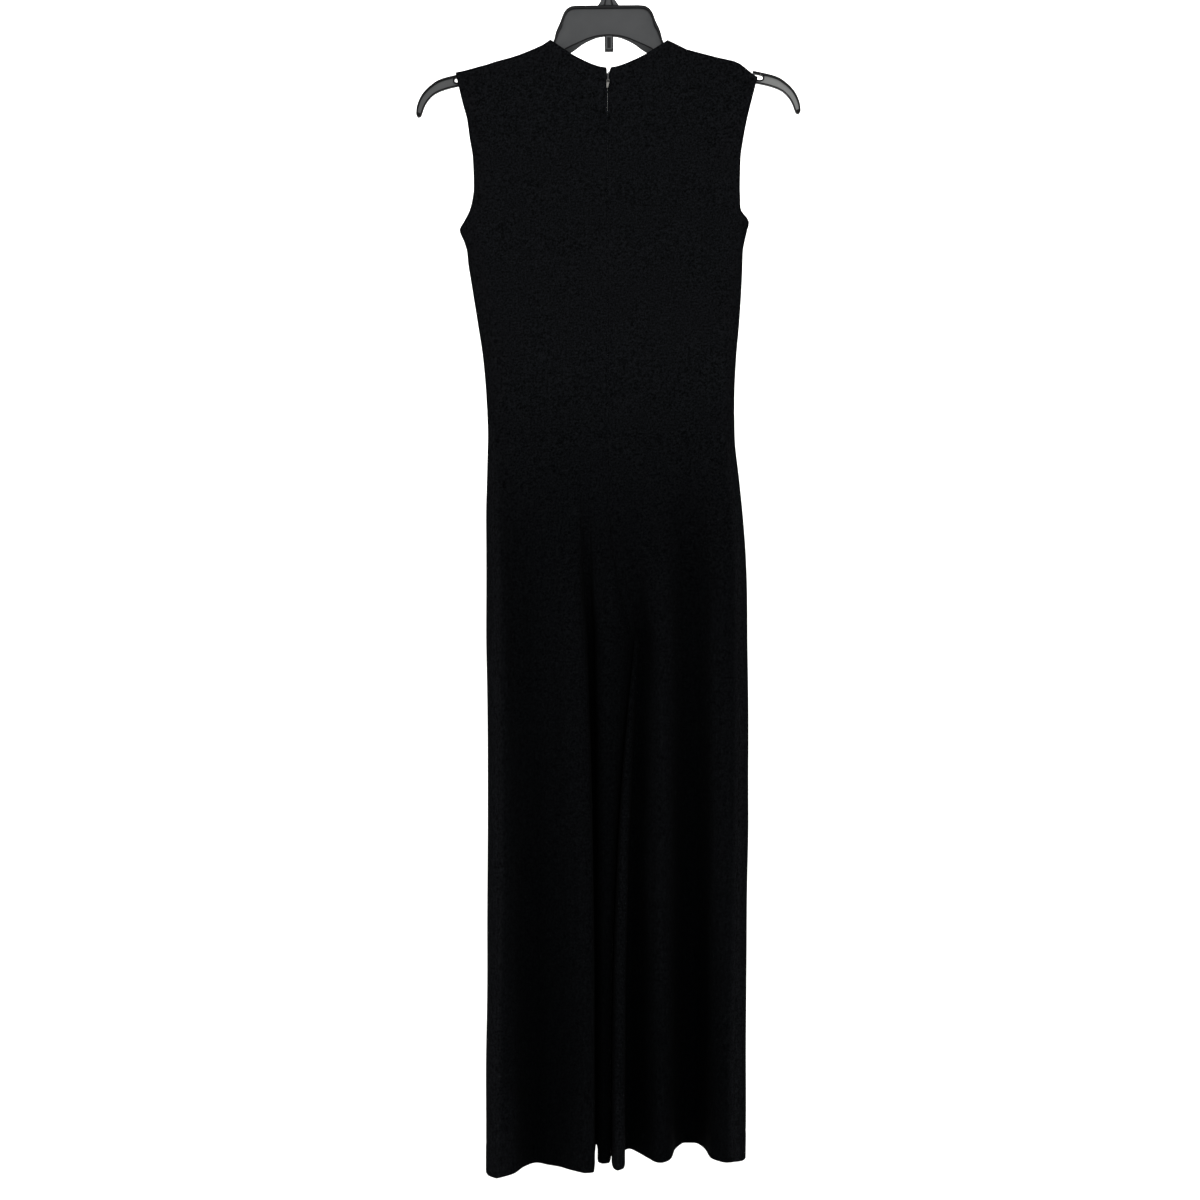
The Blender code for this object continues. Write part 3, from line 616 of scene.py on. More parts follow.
@dataclass
class ClothPanel:
    """One cut piece from shoulder to hem, as a thin shell with its folds and creases."""

    name: str
    side: Side
    facing: Facing
    shoulder: Rows
    folds: Rows
    creases: tuple[Crease, ...]
    neck_z: float
    form: BodyForm = field(default_factory=BodyForm)
    columns_per_fold: int = 6
    row_step: float = 4.25
    outer: float = 0.75        # outer face, from the middle of the wall
    inner: float = 0.35        # inner face, from the middle of the wall
    seam_half_gap: float = 0.015
    painted_shade_depth: float = 26.0   # painted shade: a fold this deep keeps a third of the crests' tone
    painted_leg_shade: float = 0.5      # painted shade: share of the yoke's tone that the crests of the legs lose
    painted_hem_light: float = 0.35     # painted light: tone that the crests gain at the hem
    painted_side_light_share: float = 0.09   # width of the painted light along the side edge, as a share of the panel

    def __post_init__(self) -> None:
        """Lays out the panel's grid of points on the middle of its wall."""
        table = np.array(self.folds)
        knots = running_length((table[:, 1:3] + table[:, 3:5]) / 2)
        count = (len(table) - 1) * self.columns_per_fold + 1
        at = np.interp(np.linspace(0, len(table) - 1, count), np.arange(len(table)), knots)
        fine = shape_keeping_curve(knots, table, at)
        self.share, self.fold_line = fine[:, 0], fine[:, 1:]
        self.share[0], self.share[-1] = 0.0, 1.0
        form = self.form
        downs = np.concatenate([np.linspace(0, 0.024, 9), np.linspace(0.04, 1, 27)[:-1]])
        heights = np.linspace(form.yoke_z, form.hem_z,
                              round((form.yoke_z - form.hem_z) / self.row_step) + 1)
        self.yoke_rows = len(downs)
        rows = [self.yoke_row(down) for down in downs] + [self.level_row(z) for z in heights]
        self.middle = np.array(rows)

    def top_line(self) -> tuple[np.ndarray, np.ndarray]:
        """x and z of the panel's top edge, the shoulder and then the neckline."""
        line = np.array(sorted(self.shoulder))
        tip, neck = np.array(self.shoulder[0]), np.array(self.shoulder[-1])
        neck_share = self.form.neck_share
        shoulder_x = tip[0] + (neck[0] - tip[0]) * self.share / neck_share
        shoulder_z = shape_keeping_curve(line[:, 0], line[:, 1], shoulder_x)
        across = np.clip((self.share - neck_share) / (1 - neck_share), 0, 1)
        drop = shape_keeping_curve((0, 0.2, 0.4, 0.6, 0.75, 0.9, 1),
                                   (0, 0.281, 0.549, 0.76, 0.894, 0.982, 1), across)
        on_neck = self.share > neck_share
        x = np.where(on_neck, neck[0] * (1 - across), shoulder_x)
        z = np.where(on_neck, neck[1] + (self.neck_z - neck[1]) * drop, shoulder_z)
        return x, z

    def section(self, z: float) -> tuple[np.ndarray, np.ndarray]:
        """x and y of the panel across the body at one height."""
        form, side = self.form, self.side.value
        edge = form.outline.at(z, 0 if self.side is Side.LEFT else 1)
        half = form.half_depth.at(z)
        wrap = form.seam_wrap.at(z)
        turn = form.armhole_turn.at(z) if z > form.underarm_z else 0.0
        if self.facing is Facing.FRONT:
            along = wrap - (abs(edge) + wrap) * self.share
        else:
            along = wrap + (abs(edge) - wrap) * self.share
        reach = np.minimum(1.0, np.abs(along) / form.side_roll)
        angle = turn + (math.pi / 2 - turn) * reach
        inset = form.side_roll * (1 - np.cos(angle) / math.cos(turn))
        on_back = np.full(along.shape, True) if self.facing is Facing.BACK else along > 0
        y = half * np.sin(angle) * np.where(on_back, -1, 1)
        return edge - side * np.where(np.abs(along) > form.side_roll, np.abs(along), inset), y

    def yoke_row(self, down: float) -> np.ndarray:
        """Points of a row between the top edge (0) and the yoke's level (1)."""
        form = self.form
        top_x, top_z = self.top_line()
        z = top_z + (form.yoke_z - top_z) * down
        side_top = self.shoulder[0][1]
        side_z = side_top + (form.yoke_z - side_top) * down
        level_x, y = self.section(side_z)
        x = top_x + (level_x - top_x) * ease(down * 1.6)
        at_edge = 1 - ease(self.share / 0.05)
        x = x + (level_x - x) * at_edge
        y = y * self.shoulder_turn(x, z)
        return self.open_at_zip(np.stack([x, y, z], axis=1))

    def shoulder_turn(self, x: np.ndarray, z: np.ndarray) -> np.ndarray:
        """0 on the shoulder seam, 1 where the cloth is clear of the hanger's top."""
        line = np.array(self.shoulder)
        points = np.stack([x, z], axis=1)
        best = np.full(len(x), 1e9)
        for start, end in zip(line[:-1], line[1:]):
            run = end - start
            part = np.clip((points - start) @ run / (run @ run), 0, 1)
            best = np.minimum(best, np.linalg.norm(points - start - part[:, None] * run, axis=1))
        reach = np.minimum(1.0, best / self.form.shoulder_roll)
        return np.sqrt(1 - (1 - reach) ** 2)

    def level_row(self, z: float) -> np.ndarray:
        """Points of a level row below the yoke."""
        form = self.form
        if z < form.crotch_z:
            x, y = self.legs(z)
        else:
            x, y = self.section(z)
            if z < form.hip_z:
                down = (form.hip_z - z) / (form.hip_z - form.crotch_z)
                outer_half = 1 - ease((self.share - 0.4) / 0.2)
                weight = ease(down) * outer_half + down ** (1.2 + 1.8 * self.share) * (
                    1 - outer_half)
                leg_x, leg_y = self.legs(form.crotch_z)
                leg_x[-1] = form.crotch_x
                x, y = x + (leg_x - x) * weight, y + (leg_y - y) * weight
        return self.open_at_zip(np.stack([x, y, np.full(len(x), z)], axis=1))

    def legs(self, z: float) -> tuple[np.ndarray, np.ndarray]:
        """x and y of the panel across a leg at one height."""
        down = (self.form.crotch_z - z) / (self.form.crotch_z - self.form.hem_z)
        down = max(0.0, down)
        across, deep = 1 - (1 - down) ** 2.6, down ** 0.9
        crotch_x, crotch_y, hem_x, hem_y = self.fold_line.T
        reach = self.form.swell.at(z, 0 if self.side is Side.LEFT else 1)
        swell = self.side.value * reach * ease(1 - self.share / self.form.swell_share)
        return (crotch_x + (hem_x - crotch_x) * across + swell,
                crotch_y + (hem_y - crotch_y) * deep)

    def open_at_zip(self, row: np.ndarray) -> np.ndarray:
        """Spreads the centre-back edge round the zip's slider."""
        if self.facing is Facing.BACK:
            near = np.clip(1 - (1 - self.share) / 0.03, 0, 1)
            column = 0 if self.side is Side.LEFT else 1
            stand_off = self.form.zip_mouth.at(float(row[-1, 2]), column)
            row[:, 0] += self.side.value * stand_off * near
        return row

    def row_of(self, z: float) -> int:
        """Number of the level row nearest to a height."""
        return self.yoke_rows + int(np.argmin(np.abs(self.middle[self.yoke_rows:, 0, 2] - z)))

    def find_normals(self) -> None:
        """Finds the outward normal at each point of the grid."""
        across = np.gradient(self.middle, axis=1)
        down = np.gradient(self.middle, axis=0)
        outward = self.facing.value * self.side.value
        self.normals = unit(np.cross(down, across) * outward)
        on_shoulder = self.share <= self.form.neck_share
        top = self.normals[0]
        top[on_shoulder] = unit(np.stack([top[on_shoulder, 0] * 0.2,
                                          np.zeros(on_shoulder.sum()),
                                          np.ones(on_shoulder.sum())], axis=1))
        top[~on_shoulder] = self.normals[2][~on_shoulder]

    def relief(self) -> np.ndarray:
        """Height of seams, turned edges, creases and unevenness over the plain form.

        Returns:
            Millimetres along the normal at each point of the grid.
        """
        lengths = np.linalg.norm(np.diff(self.middle, axis=1), axis=2)
        along = np.concatenate([np.zeros((len(lengths), 1)), np.cumsum(lengths, axis=1)], axis=1)
        falls = np.linalg.norm(np.diff(self.middle, axis=0), axis=2)
        fallen = np.concatenate([np.zeros((1, falls.shape[1])), np.cumsum(falls, axis=0)])
        to_centre = along[:, -1:] - along
        to_hem = fallen[-1:] - fallen
        heights = self.middle[:, :, 2]

        lift = -0.6 * np.exp(-(to_centre / 1.7) ** 2)
        sewn_side = (np.arange(len(along)) >= self.row_of(self.form.underarm_z))[:, None]
        lift -= np.where(sewn_side, 0.55 * np.exp(-(along / 1.7) ** 2), 0)
        on_shoulder = (self.share <= self.form.neck_share)[None, :]
        lift -= np.where(on_shoulder, 0.3 * np.exp(-(fallen / 1.5) ** 2), 0)
        # The blind-stitched hem: a hardly visible step where its turning ends.
        lift += 0.18 * ease((34 - to_hem) / 3.0) - 0.22 * np.exp(-((to_hem - 33) / 1.8) ** 2)
        # The facings of neck and armholes stop a little way in and print through softly.
        in_neck = np.where(on_shoulder, 0.0, 1.0)
        lift += in_neck * 0.12 * ease((9 - fallen) / 4)
        armhole = np.where(sewn_side, 0.0, 1.0)
        lift += armhole * 0.12 * ease((9 - along) / 4)

        for number, crease in enumerate(self.creases):
            lift += self.crease_height(crease, number, along, heights)
        wave = 2 * math.pi
        side_seed = 1.7 * self.side.value + 0.9 * self.facing.value
        slow = (np.sin(wave * (along / 97 + heights / 410) + side_seed)
                + np.sin(wave * (along / 61 - heights / 290) + 2.1 * side_seed)
                + 0.6 * np.sin(wave * (along / 38 + heights / 170) + 3.3 * side_seed))
        calm = ease(fallen / 60) * ease(along / 30) * ease(to_centre / 30)
        return lift + 0.28 * slow * calm

    def painted_shade_and_light(self) -> np.ndarray:
        """Painted light and shade: share of the flat parts' colour at each point; the rest is the
        deep folds' painted shade.

        Returns:
            1 on the flat yoke and the side edges, less on the legs' crests, and 0 at the
            bottom of the deepest folds, where the painted shade is darkest.
        """
        out = self.middle[:, :, 1] * self.facing.value
        crest = out.max(axis=1, keepdims=True)
        depth = (crest - out) / self.painted_shade_depth
        heights = self.middle[:, :, 2]
        # Painted shade down the legs, and painted light on the crests near the hem.
        flat = 1 - self.painted_leg_shade * ease((self.form.hip_z + 120 - heights) / 300)
        at_hem = self.painted_hem_light * ease((self.form.hem_z + 130 - heights) / 120)
        # Painted light along the side edges below the underarm.
        at_side = (1 - ease(self.share / self.painted_side_light_share)) * ease(
            (self.form.underarm_z - heights) / 250)
        # Painted shade that deepens with each fold's depth below the row's crest.
        on_crests = np.exp(-np.maximum(depth, 0) ** 1.5) * (flat + at_hem)
        return np.clip(np.maximum(on_crests, at_side), 0, 1)

    def crease_height(self, crease: Crease, number: int, along: np.ndarray,
                      heights: np.ndarray) -> np.ndarray:
        """Height of one crease over the grid.

        Args:
            crease: The crease.
            number: Its number on the panel, which sets how it wanders.
            along: Distance of each point from the side edge, along its row.
            heights: Height of each point.

        Returns:
            Millimetres along the normal at each point.
        """
        path = np.array(sorted(crease.path, key=lambda step: step[1]))
        row_height = heights.mean(axis=1)
        low, high = path[0, 1], path[-1, 1]
        part = (row_height - low) / (high - low)
        fade = ease(part / 0.3) * ease((1 - part) / 0.3)
        centre_share = shape_keeping_curve(path[:, 1], path[:, 0], row_height)
        centre = np.array([np.interp(share, self.share, row)
                           for share, row in zip(centre_share, along)])
        centre += crease.wander * np.sin(row_height / 31 + 1.9 * number)
        width = crease.width * (1 + 0.18 * np.sin(row_height / 53 + number))
        shape = np.exp(-((along - centre[:, None]) / width[:, None]) ** 2)
        return crease.rise * fade[:, None] * shape

    def build(self, finish: bpy.types.Material) -> bpy.types.Object:
        """Makes the shell: two faces and a rounded rim.

        Args:
            finish: The cloth's material.

        Returns:
            The panel.
        """
        raised = self.trimmed + self.normals * self.relief()[:, :, None]
        rows, columns = raised.shape[:2]
        outer = (raised + self.normals * self.outer).reshape(-1, 3)
        inner = (raised - self.normals * self.inner).reshape(-1, 3)
        count = rows * columns
        cell = np.arange(count).reshape(rows, columns)
        a, b = cell[:-1, :-1].ravel(), cell[:-1, 1:].ravel()
        c, d = cell[1:, 1:].ravel(), cell[1:, :-1].ravel()
        if self.facing.value * self.side.value > 0:
            b, d = d, b
        faces = np.concatenate([np.stack([a, b, c, d], axis=1),
                                np.stack([d, c, b, a], axis=1) + count])
        rim = np.concatenate([cell[0], cell[1:, -1], cell[-1, -2::-1], cell[-2:0:-1, 0]])
        flat = raised.reshape(-1, 3)
        inward = np.zeros_like(raised)
        inward[0], inward[-1] = raised[1] - raised[0], raised[-2] - raised[-1]
        inward[1:-1, 0] = raised[1:-1, 1] - raised[1:-1, 0]
        inward[1:-1, -1] = raised[1:-1, -2] - raised[1:-1, -1]
        sewn = np.zeros((rows, columns), bool)
        sewn[:, -1] = True
        sewn[self.row_of(self.form.underarm_z):, 0] = True
        sewn[0, self.share <= self.form.neck_share] = True
        sewn[-1, :] = False
        push = np.where(sewn.ravel()[rim], 0.0, 0.4)[:, None]
        edge = flat[rim] - unit(inward.reshape(-1, 3)[rim]) * push
        number = 2 * count + np.arange(len(rim))
        following, next_number = np.roll(rim, -1), np.roll(number, -1)
        faces = [tuple(face) for face in faces]
        faces += list(zip(rim, following, next_number, number))
        faces += list(zip(number, next_number, following + count, rim + count))
        made = mesh_object(self.name + "_cloth", np.concatenate([outer, inner, edge]), faces,
                           [finish])
        tone = self.painted_shade_and_light().ravel()
        layer = made.data.attributes.new("painted_shade_and_light", "FLOAT", "POINT")
        # The inner face keeps 0.3 of the tone: painted shade inside the garment.
        layer.data.foreach_set("value", np.concatenate([tone, tone * 0.3, tone[rim]]))
        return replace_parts(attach(made, GARMENT_BODY), self.name)


@dataclass
class Jumpsuit:
    """The four panels, sewn at the shoulders, centre, sides and inside legs."""

    finish: CrepeKnit = field(default_factory=CrepeKnit)
    left_shoulder: Rows = (
        (-191.5, -164.8), (-182, -163), (-171.7, -160.3), (-161.5, -157.4), (-151.6, -154.8),
        (-141.5, -151.3), (-121.4, -145.9), (-111.3, -142.7), (-97, -137), (-82, -130.4),
        (-72.5, -124))
    right_shoulder: Rows = (
        (191, -170.6), (187.5, -169.6), (182, -166.4), (177, -162.3), (172, -158.2),
        (166, -153.6), (158, -150.2), (136, -145.3), (121, -141.4), (99, -135.6), (86, -129),
        (76.5, -124.5))
    back_neck_z: float = -159.4
    front_neck_z: float = -208.0
    # One row for each fold line from the side seam to the centre: share of the body panel's
    # width, then x and y at the crotch's level, then x and y at the hem.
    back_left: Rows = (
        (0.00, -137, -30, -135, -68), (0.05, -128, -31, -127, -63), (0.12, -117, -20, -115, -53),
        (0.20, -104, -17, -103, -30), (0.29, -90, -20, -89, -19), (0.38, -76, -25, -74, -26),
        (0.46, -64, -26, -60, -31), (0.54, -52, -31, -46, -41), (0.63, -40, -32, -31, -50),
        (0.65, -37.5, -31.5, -28, -51.5), (0.73, -29, -24, -17.5, -49), (0.78, -23, 5, -15.5, 42),
        (0.82, -18, 5, -13, 42), (0.87, -13, -14, -11, -16), (0.92, -2, -20, -6, -22),
        (0.96, 16, -17, 1, -20), (1.00, 32.05, -5, 4, 0))
    back_right: Rows = (
        (0.00, 163, -16, 158, -17), (0.06, 153, -26, 148, -19), (0.13, 141, -29, 137, -13),
        (0.20, 131, -26, 130, -3), (0.27, 121, -14, 125, 26), (0.35, 110, -6, 113, 46),
        (0.43, 99, -6, 100, 47), (0.51, 88, -14, 87, 26), (0.57, 78, -26, 77, -10),
        (0.63, 68, -29, 66, -19), (0.65, 66, -28.5, 63, -18.5), (0.73, 58, -22, 52, -6),
        (0.82, 50, -2, 38, 16), (0.87, 45, 1, 28, 26), (0.91, 42, 0, 22, 20),
        (0.94, 39, -3, 19.5, -36), (0.965, 37.3, -4.4, 12, -44), (0.985, 35.8, -5, 7.5, -37),
        (1.00, 33.95, -5, 5.6, -12))
    front_left: Rows = (
        (0.00, -137, -30, -135, -68), (0.03, -147, -22, -145, -58), (0.06, -151, -6, -149, -36),
        (0.10, -150, 8, -147, -8), (0.15, -141, 20, -137, 20), (0.22, -128, 27, -124, 46),
        (0.30, -112, 27, -110, 62), (0.38, -97, 24, -95, 54), (0.47, -81, 25, -80, 34),
        (0.56, -65, 30, -64, 36), (0.63, -52, 33, -49, 56), (0.65, -48, 33, -45, 60),
        (0.73, -34, 33, -30, 72), (0.82, -15, 31, -14, 72), (0.89, 8, 28, -1, 56),
        (0.95, 37, 12, 11, 26), (1.00, 32.05, -5, 4, 0))
    front_right: Rows = (
        (0.00, 163, -16, 158, -17), (0.03, 171, -10, 168, -13), (0.06, 175.4, 0, 173, -2),
        (0.10, 174, 12, 173.5, 14), (0.15, 165, 22, 167, 38), (0.22, 151, 28, 154, 58),
        (0.30, 136, 29, 138, 60), (0.38, 121, 27, 123, 66), (0.47, 106, 27, 107, 78),
        (0.56, 91, 30, 91, 66), (0.63, 79, 33, 78, 46), (0.65, 76, 33, 74, 44),
        (0.73, 64, 34, 59, 44), (0.82, 54, 32, 43, 62), (0.89, 48, 28, 28, 60),
        (0.95, 43, 15, 19, 42), (1.00, 33.95, -5, 5.6, -12))
    cut_areas: dict[str, float] = field(default_factory=lambda: {
        "back_left": 0.291, "back_right": 0.276, "front_left": 0.312, "front_right": 0.295})

    def panels(self) -> list[ClothPanel]:
        """The four panels with their listed creases.

        Returns:
            Back left, back right, front left and front right.
        """
        back_left = ClothPanel(
            "back_left", Side.LEFT, Facing.BACK, self.left_shoulder, self.back_left,
            (Crease(((0.075, -352), (0.07, -420), (0.045, -575)), 7, -1.5),
             Crease(((0.12, -352), (0.11, -430), (0.09, -590)), 6, 1.0),
             Crease(((0.33, -640), (0.36, -760), (0.37, -960)), 9, -1.3),
             Crease(((0.50, -600), (0.49, -720), (0.50, -830)), 7, 0.9),
             Crease(((0.93, -560), (0.95, -640), (0.95, -730)), 4, 1.0),
             Crease(((0.17, -900), (0.16, -1100), (0.19, -1400)), 8, -1.2),
             Crease(((0.42, -980), (0.44, -1180), (0.43, -1450)), 9, 1.4)),
            self.back_neck_z)
        back_right = ClothPanel(
            "back_right", Side.RIGHT, Facing.BACK, self.right_shoulder, self.back_right,
            (Crease(((0.12, -340), (0.13, -400), (0.12, -480)), 14, -2.0, 2.5),
             Crease(((0.03, -350), (0.04, -450), (0.03, -560)), 5, 0.8),
             Crease(((0.72, -620), (0.70, -720), (0.72, -860)), 9, -1.4),
             Crease(((0.42, -640), (0.40, -760), (0.41, -860)), 10, -1.2),
             Crease(((0.17, -700), (0.16, -860), (0.17, -1020)), 8, 1.0),
             Crease(((0.15, -1050), (0.17, -1250), (0.14, -1450)), 8, -1.0)),
            self.back_neck_z)
        front_left = ClothPanel(
            "front_left", Side.LEFT, Facing.FRONT, self.left_shoulder, self.front_left,
            (Crease(((0.10, -340), (0.16, -390), (0.24, -470)), 10, -1.8),
             Crease(((0.14, -355), (0.20, -430), (0.22, -560)), 9, 1.1),
             Crease(((0.60, -300), (0.56, -430), (0.58, -620)), 14, 0.9),
             Crease(((0.42, -560), (0.40, -700), (0.42, -880)), 11, -1.8),
             Crease(((0.72, -640), (0.74, -760), (0.76, -900)), 9, 1.4),
             Crease(((0.93, -700), (0.95, -790), (0.97, -870)), 6, -1.6),
             Crease(((0.25, -980), (0.24, -1180), (0.26, -1430)), 9, -1.3)),
            self.front_neck_z)
        front_right = ClothPanel(
            "front_right", Side.RIGHT, Facing.FRONT, self.right_shoulder, self.front_right,
            (Crease(((0.09, -340), (0.15, -400), (0.21, -500)), 9, -1.7),
             Crease(((0.34, -330), (0.37, -450), (0.35, -610)), 12, 0.9),
             Crease(((0.62, -420), (0.60, -560), (0.63, -740)), 12, -1.3),
             Crease(((0.30, -600), (0.31, -740), (0.30, -900)), 10, 1.5),
             Crease(((0.86, -660), (0.90, -770), (0.95, -868)), 7, -1.7),
             Crease(((0.52, -950), (0.50, -1150), (0.52, -1440)), 10, 1.4)),
            self.front_neck_z)
        return [back_left, back_right, front_left, front_right]

    def sew(self, panels: Sequence[ClothPanel]) -> None:
        """Gives joined panels common normals and a hairline gap along each seam.

        Args:
            panels: Back left, back right, front left and front right.
        """
        back_left, back_right, front_left, front_right = panels
        form = back_left.form
        underarm, crotch = back_left.row_of(form.underarm_z), back_left.row_of(form.crotch_z)
        for panel in panels:
            panel.find_normals()
            panel.trimmed = panel.middle.copy()
        pairs = [(back_left, front_left, slice(underarm, None), 0),
                 (back_right, front_right, slice(underarm, None), 0),
                 (back_left, front_left, slice(crotch, None), -1),
                 (back_right, front_right, slice(crotch, None), -1),
                 (back_left, back_right, slice(0, crotch), -1),
                 (front_left, front_right, slice(0, crotch), -1)]
        for first, second, rows, column in pairs:
            common = unit(first.normals[rows, column] + second.normals[rows, column])
            first.normals[rows, column] = common
            second.normals[rows, column] = common
        for panel in panels:
            gap = panel.seam_half_gap
            centre = unit(panel.middle[:, -2] - panel.middle[:, -1])
            panel.trimmed[:, -1] += centre * gap
            edge = unit(panel.middle[underarm:, 1] - panel.middle[underarm:, 0])
            panel.trimmed[underarm:, 0] += edge * gap

    def build(self) -> list[bpy.types.Object]:
        """Makes the four panels and logs their face counts.

        Returns:
            The panels' objects.
        """
        finish = self.finish.make()
        panels = self.panels()
        self.sew(panels)
        made = []
        for panel in panels:
            cloth = panel.build(finish)
            log.info("%s: %d faces", cloth.name, len(cloth.data.polygons))
            made.append(cloth)
        return made


# ---------------------------------------------------------------- zip
@dataclass
class ConcealedZip:
    """The concealed centre-back zip: tapes and coil inside, slider bridge and pull outside."""

    form: BodyForm = field(default_factory=BodyForm)
    wall: float = 1.5
    clear: float = 0.3
    tape_thick: float = 0.6
    tape_near: float = 1.9
    meeting: float = 0.02      # near edge of the weave, whose folds meet over the coil
    turn_aside: float = 4.25   # how far the weave turns aside round the slider
    turn_z: float = -184.0
    tape_far: float = 13.0
    top_z: float = -166.0
    end_z: float = -589.0
    coil_top_z: float = -183.0
    coil_pitch: float = 1.25
    pin_y: float = -10.9
    pin_z: float = -175.2
    bridge_out: float = -12.9
    bridge_top: float = -165.2
    slider_top: float = -165.8
    lean: float = 0.9          # how far the bridge leans to the right at its top
    pull_half: float = 0.45
    pull_edge: float = 0.18    # radius of the pull's edges

    def wall_inside(self, z: float) -> float:
        """y of the inner side of the back wall, with the tape's clearance."""
        return -self.form.half_depth.at(z) + self.wall / 2 + self.clear

    def tape(self, side: Side, finish: bpy.types.Material) -> bpy.types.Object:
        """One woven tape, turned aside a little round the slider.

        Args:
            side: Which side of the seam it is on.
            finish: The tape's material.

        Returns:
            The tape.
        """
        plain_half = (self.tape_far - self.tape_near) / 2
        profile = rounded_profile(plain_half, self.tape_thick / 2, 0.25, 2)
        rings = []
        for z in np.linspace(self.top_z, self.end_z, 170):
            near = self.meeting + self.turn_aside * float(ease((z - self.turn_z) / 4))
            squeeze = (self.tape_far - near) / 2 / plain_half
            centre = side.value * (near + self.tape_far) / 2
            y = self.wall_inside(float(z)) + self.tape_thick / 2
            rings.append([(centre + a * squeeze, y + b, float(z)) for a, b in profile])
        node = "zip_tape_left" if side is Side.LEFT else "zip_tape_right"
        made = loft(node + "_woven", rings, [finish])
        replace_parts(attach(made, GARMENT_BODY), node)
        return made

    def coil(self, finish: bpy.types.Material) -> bpy.types.Object:
        """The two meshed nylon coils, as one flattened spiral.

        Args:
            finish: The nylon's material.

        Returns:
            The coil.
        """
        turns = (self.coil_top_z - self.end_z - 3) / self.coil_pitch
        steps, wire = 10, 0.27
        path = []
        for k in range(int(turns * steps) + 1):
            angle = 2 * math.pi * k / steps
            z = self.coil_top_z - self.coil_pitch * k / steps
            x = 1.15 * math.sin(angle)
            y = self.wall_inside(z) + 1.5 + 0.5 * math.cos(angle)
            path.append((x, y, z))
        ring = [(wire * math.cos(math.radians(a)), wire * math.sin(math.radians(a)))
                for a in range(0, 360, 72)]
        made = loft("zip_coil_spiral", sweep_sections(path, ring, (0, 0, 1)), [finish])
        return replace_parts(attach(made, GARMENT_BODY), "zip_coil")

    def slider(self, finish: bpy.types.Material) -> bpy.types.Object:
        """The slider: a rounded body inside the seam and a bridge that stands out of it.

        Args:
            finish: The metal's material.

        Returns:
            The slider.
        """
        low, high = (Vector(c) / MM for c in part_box("zip_slider"))
        inside = self.wall_inside(self.bridge_top)
        body = box_piece("zip_slider_metal", (low.x, inside, low.z),
                         (high.x, high.y, self.slider_top), [finish])
        soften_edges(body, 0.8)
        wall_out = inside - self.clear * 2 - self.wall
        out = self.bridge_out + 0.45
        # The bridge's side view: y, and distance below its top.
        arch = [(inside + 0.6, 2.4), (wall_out - 0.2, 1.1), (out + 0.5, 0.45), (out, 1.1),
                (out, 4.8), (out, 8.1), (out, 11.4), (out + 0.5, 11.9), (wall_out - 0.5, 11.8),
                (wall_out + 0.6, 11.4), (inside + 0.6, 10.8)]
        route = [(self.lean * (1 - down / 30), y, self.bridge_top - down)
                 for y, down in smooth_line(arch, 4 * len(arch))]
        bar = loft("slider_bridge", sweep_sections(route, rounded_profile(0.6, 0.4, 0.25),
                                                   (1, 0, 0)), [finish])
        neck = box_piece("slider_neck", (0.15, wall_out + 0.2, self.bridge_top - 11.8),
                         (0.95, inside + 0.4, self.bridge_top - 6.8), [finish])
        return join_pieces(body, [bar, neck], ["zip_slider"], GARMENT_BODY)

    def pull(self, finish: bpy.types.Material) -> bpy.types.Object:
        """The small drop-shaped pull, stamped with an eye and tumbled to round its edges.

        Args:
            finish: The metal's material.

        Returns:
            The pull.
        """
        outline = [(-0.7, 0.4), (1.9, 0.4), (2.15, 0.05), (2.1, -2.6), (1.8, -5.0), (1.4, -7.4),
                   (0.8, -9.6), (0.2, -10.6), (-0.6, -10.8), (-1.2, -10.2), (-1.4, -8.0),
                   (-1.3, -5.4), (-1.0, -2.6), (-0.95, 0.05)]
        eye = [(-0.15, -0.5), (-0.3, -0.9), (-0.3, -2.8), (0.0, -3.5), (1.2, -3.5),
               (1.5, -2.8), (1.5, -0.9), (1.35, -0.5)]
        curve = bpy.data.curves.new("zip_pull_outline", "CURVE")
        curve.dimensions, curve.fill_mode = "2D", "BOTH"
        curve.bevel_depth, curve.bevel_resolution = self.pull_edge * MM, 3
        curve.extrude = (self.pull_half - self.pull_edge) * MM
        curve.offset = -self.pull_edge * MM
        for loop in (outline, eye):
            spline = curve.splines.new("POLY")
            spline.points.add(len(loop) - 1)
            for point, (x, z) in zip(spline.points, loop):
                point.co = (x * MM, z * MM, 0, 1)
            spline.use_cyclic_u = True
        guide = put_in_scene("zip_pull_outline", curve)
        mesh = evaluated_mesh(guide)
        bpy.data.objects.remove(guide)
        mesh.name = "zip_pull_metal"
        mesh.transform(Matrix.Translation((0, self.pin_y * MM, self.pin_z * MM))
                       @ Matrix.Rotation(math.pi / 2, 4, "X"))
        mesh.materials.clear()
        mesh.materials.append(finish)
        made = put_in_scene("zip_pull_metal", mesh)
        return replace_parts(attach(made, PULL_BODY), "zip_pull")

    def build(self) -> list[bpy.types.Object]:
        """Makes the zip.

        Returns:
            Its pieces.
        """
        woven, nylon, metal = WovenTape().make(), COIL_NYLON.make(), NickelPlate().make()
        made = [self.tape(Side.LEFT, woven), self.tape(Side.RIGHT, woven), self.coil(nylon),
                self.slider(LACQUERED_ZINC.make()), self.pull(metal)]
        for piece in made:
            log.info("%s: %d faces", piece.name, len(piece.data.polygons))
        return made


def join_pieces(first: bpy.types.Object, others: Sequence[bpy.types.Object], nodes: Sequence[str],
                body: str) -> bpy.types.Object:
    """Joins mesh pieces into the first and hands the result to the frame.

    Args:
        first: Piece that keeps its name.
        others: Pieces to join to it.
        nodes: CAD nodes that the result stands for.
        body: CAD body that it rides on.

    Returns:
        The joined piece.
    """
    merge_meshes(first, others)
    first.data.shade_smooth()
    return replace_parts(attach(first, body), *nodes)


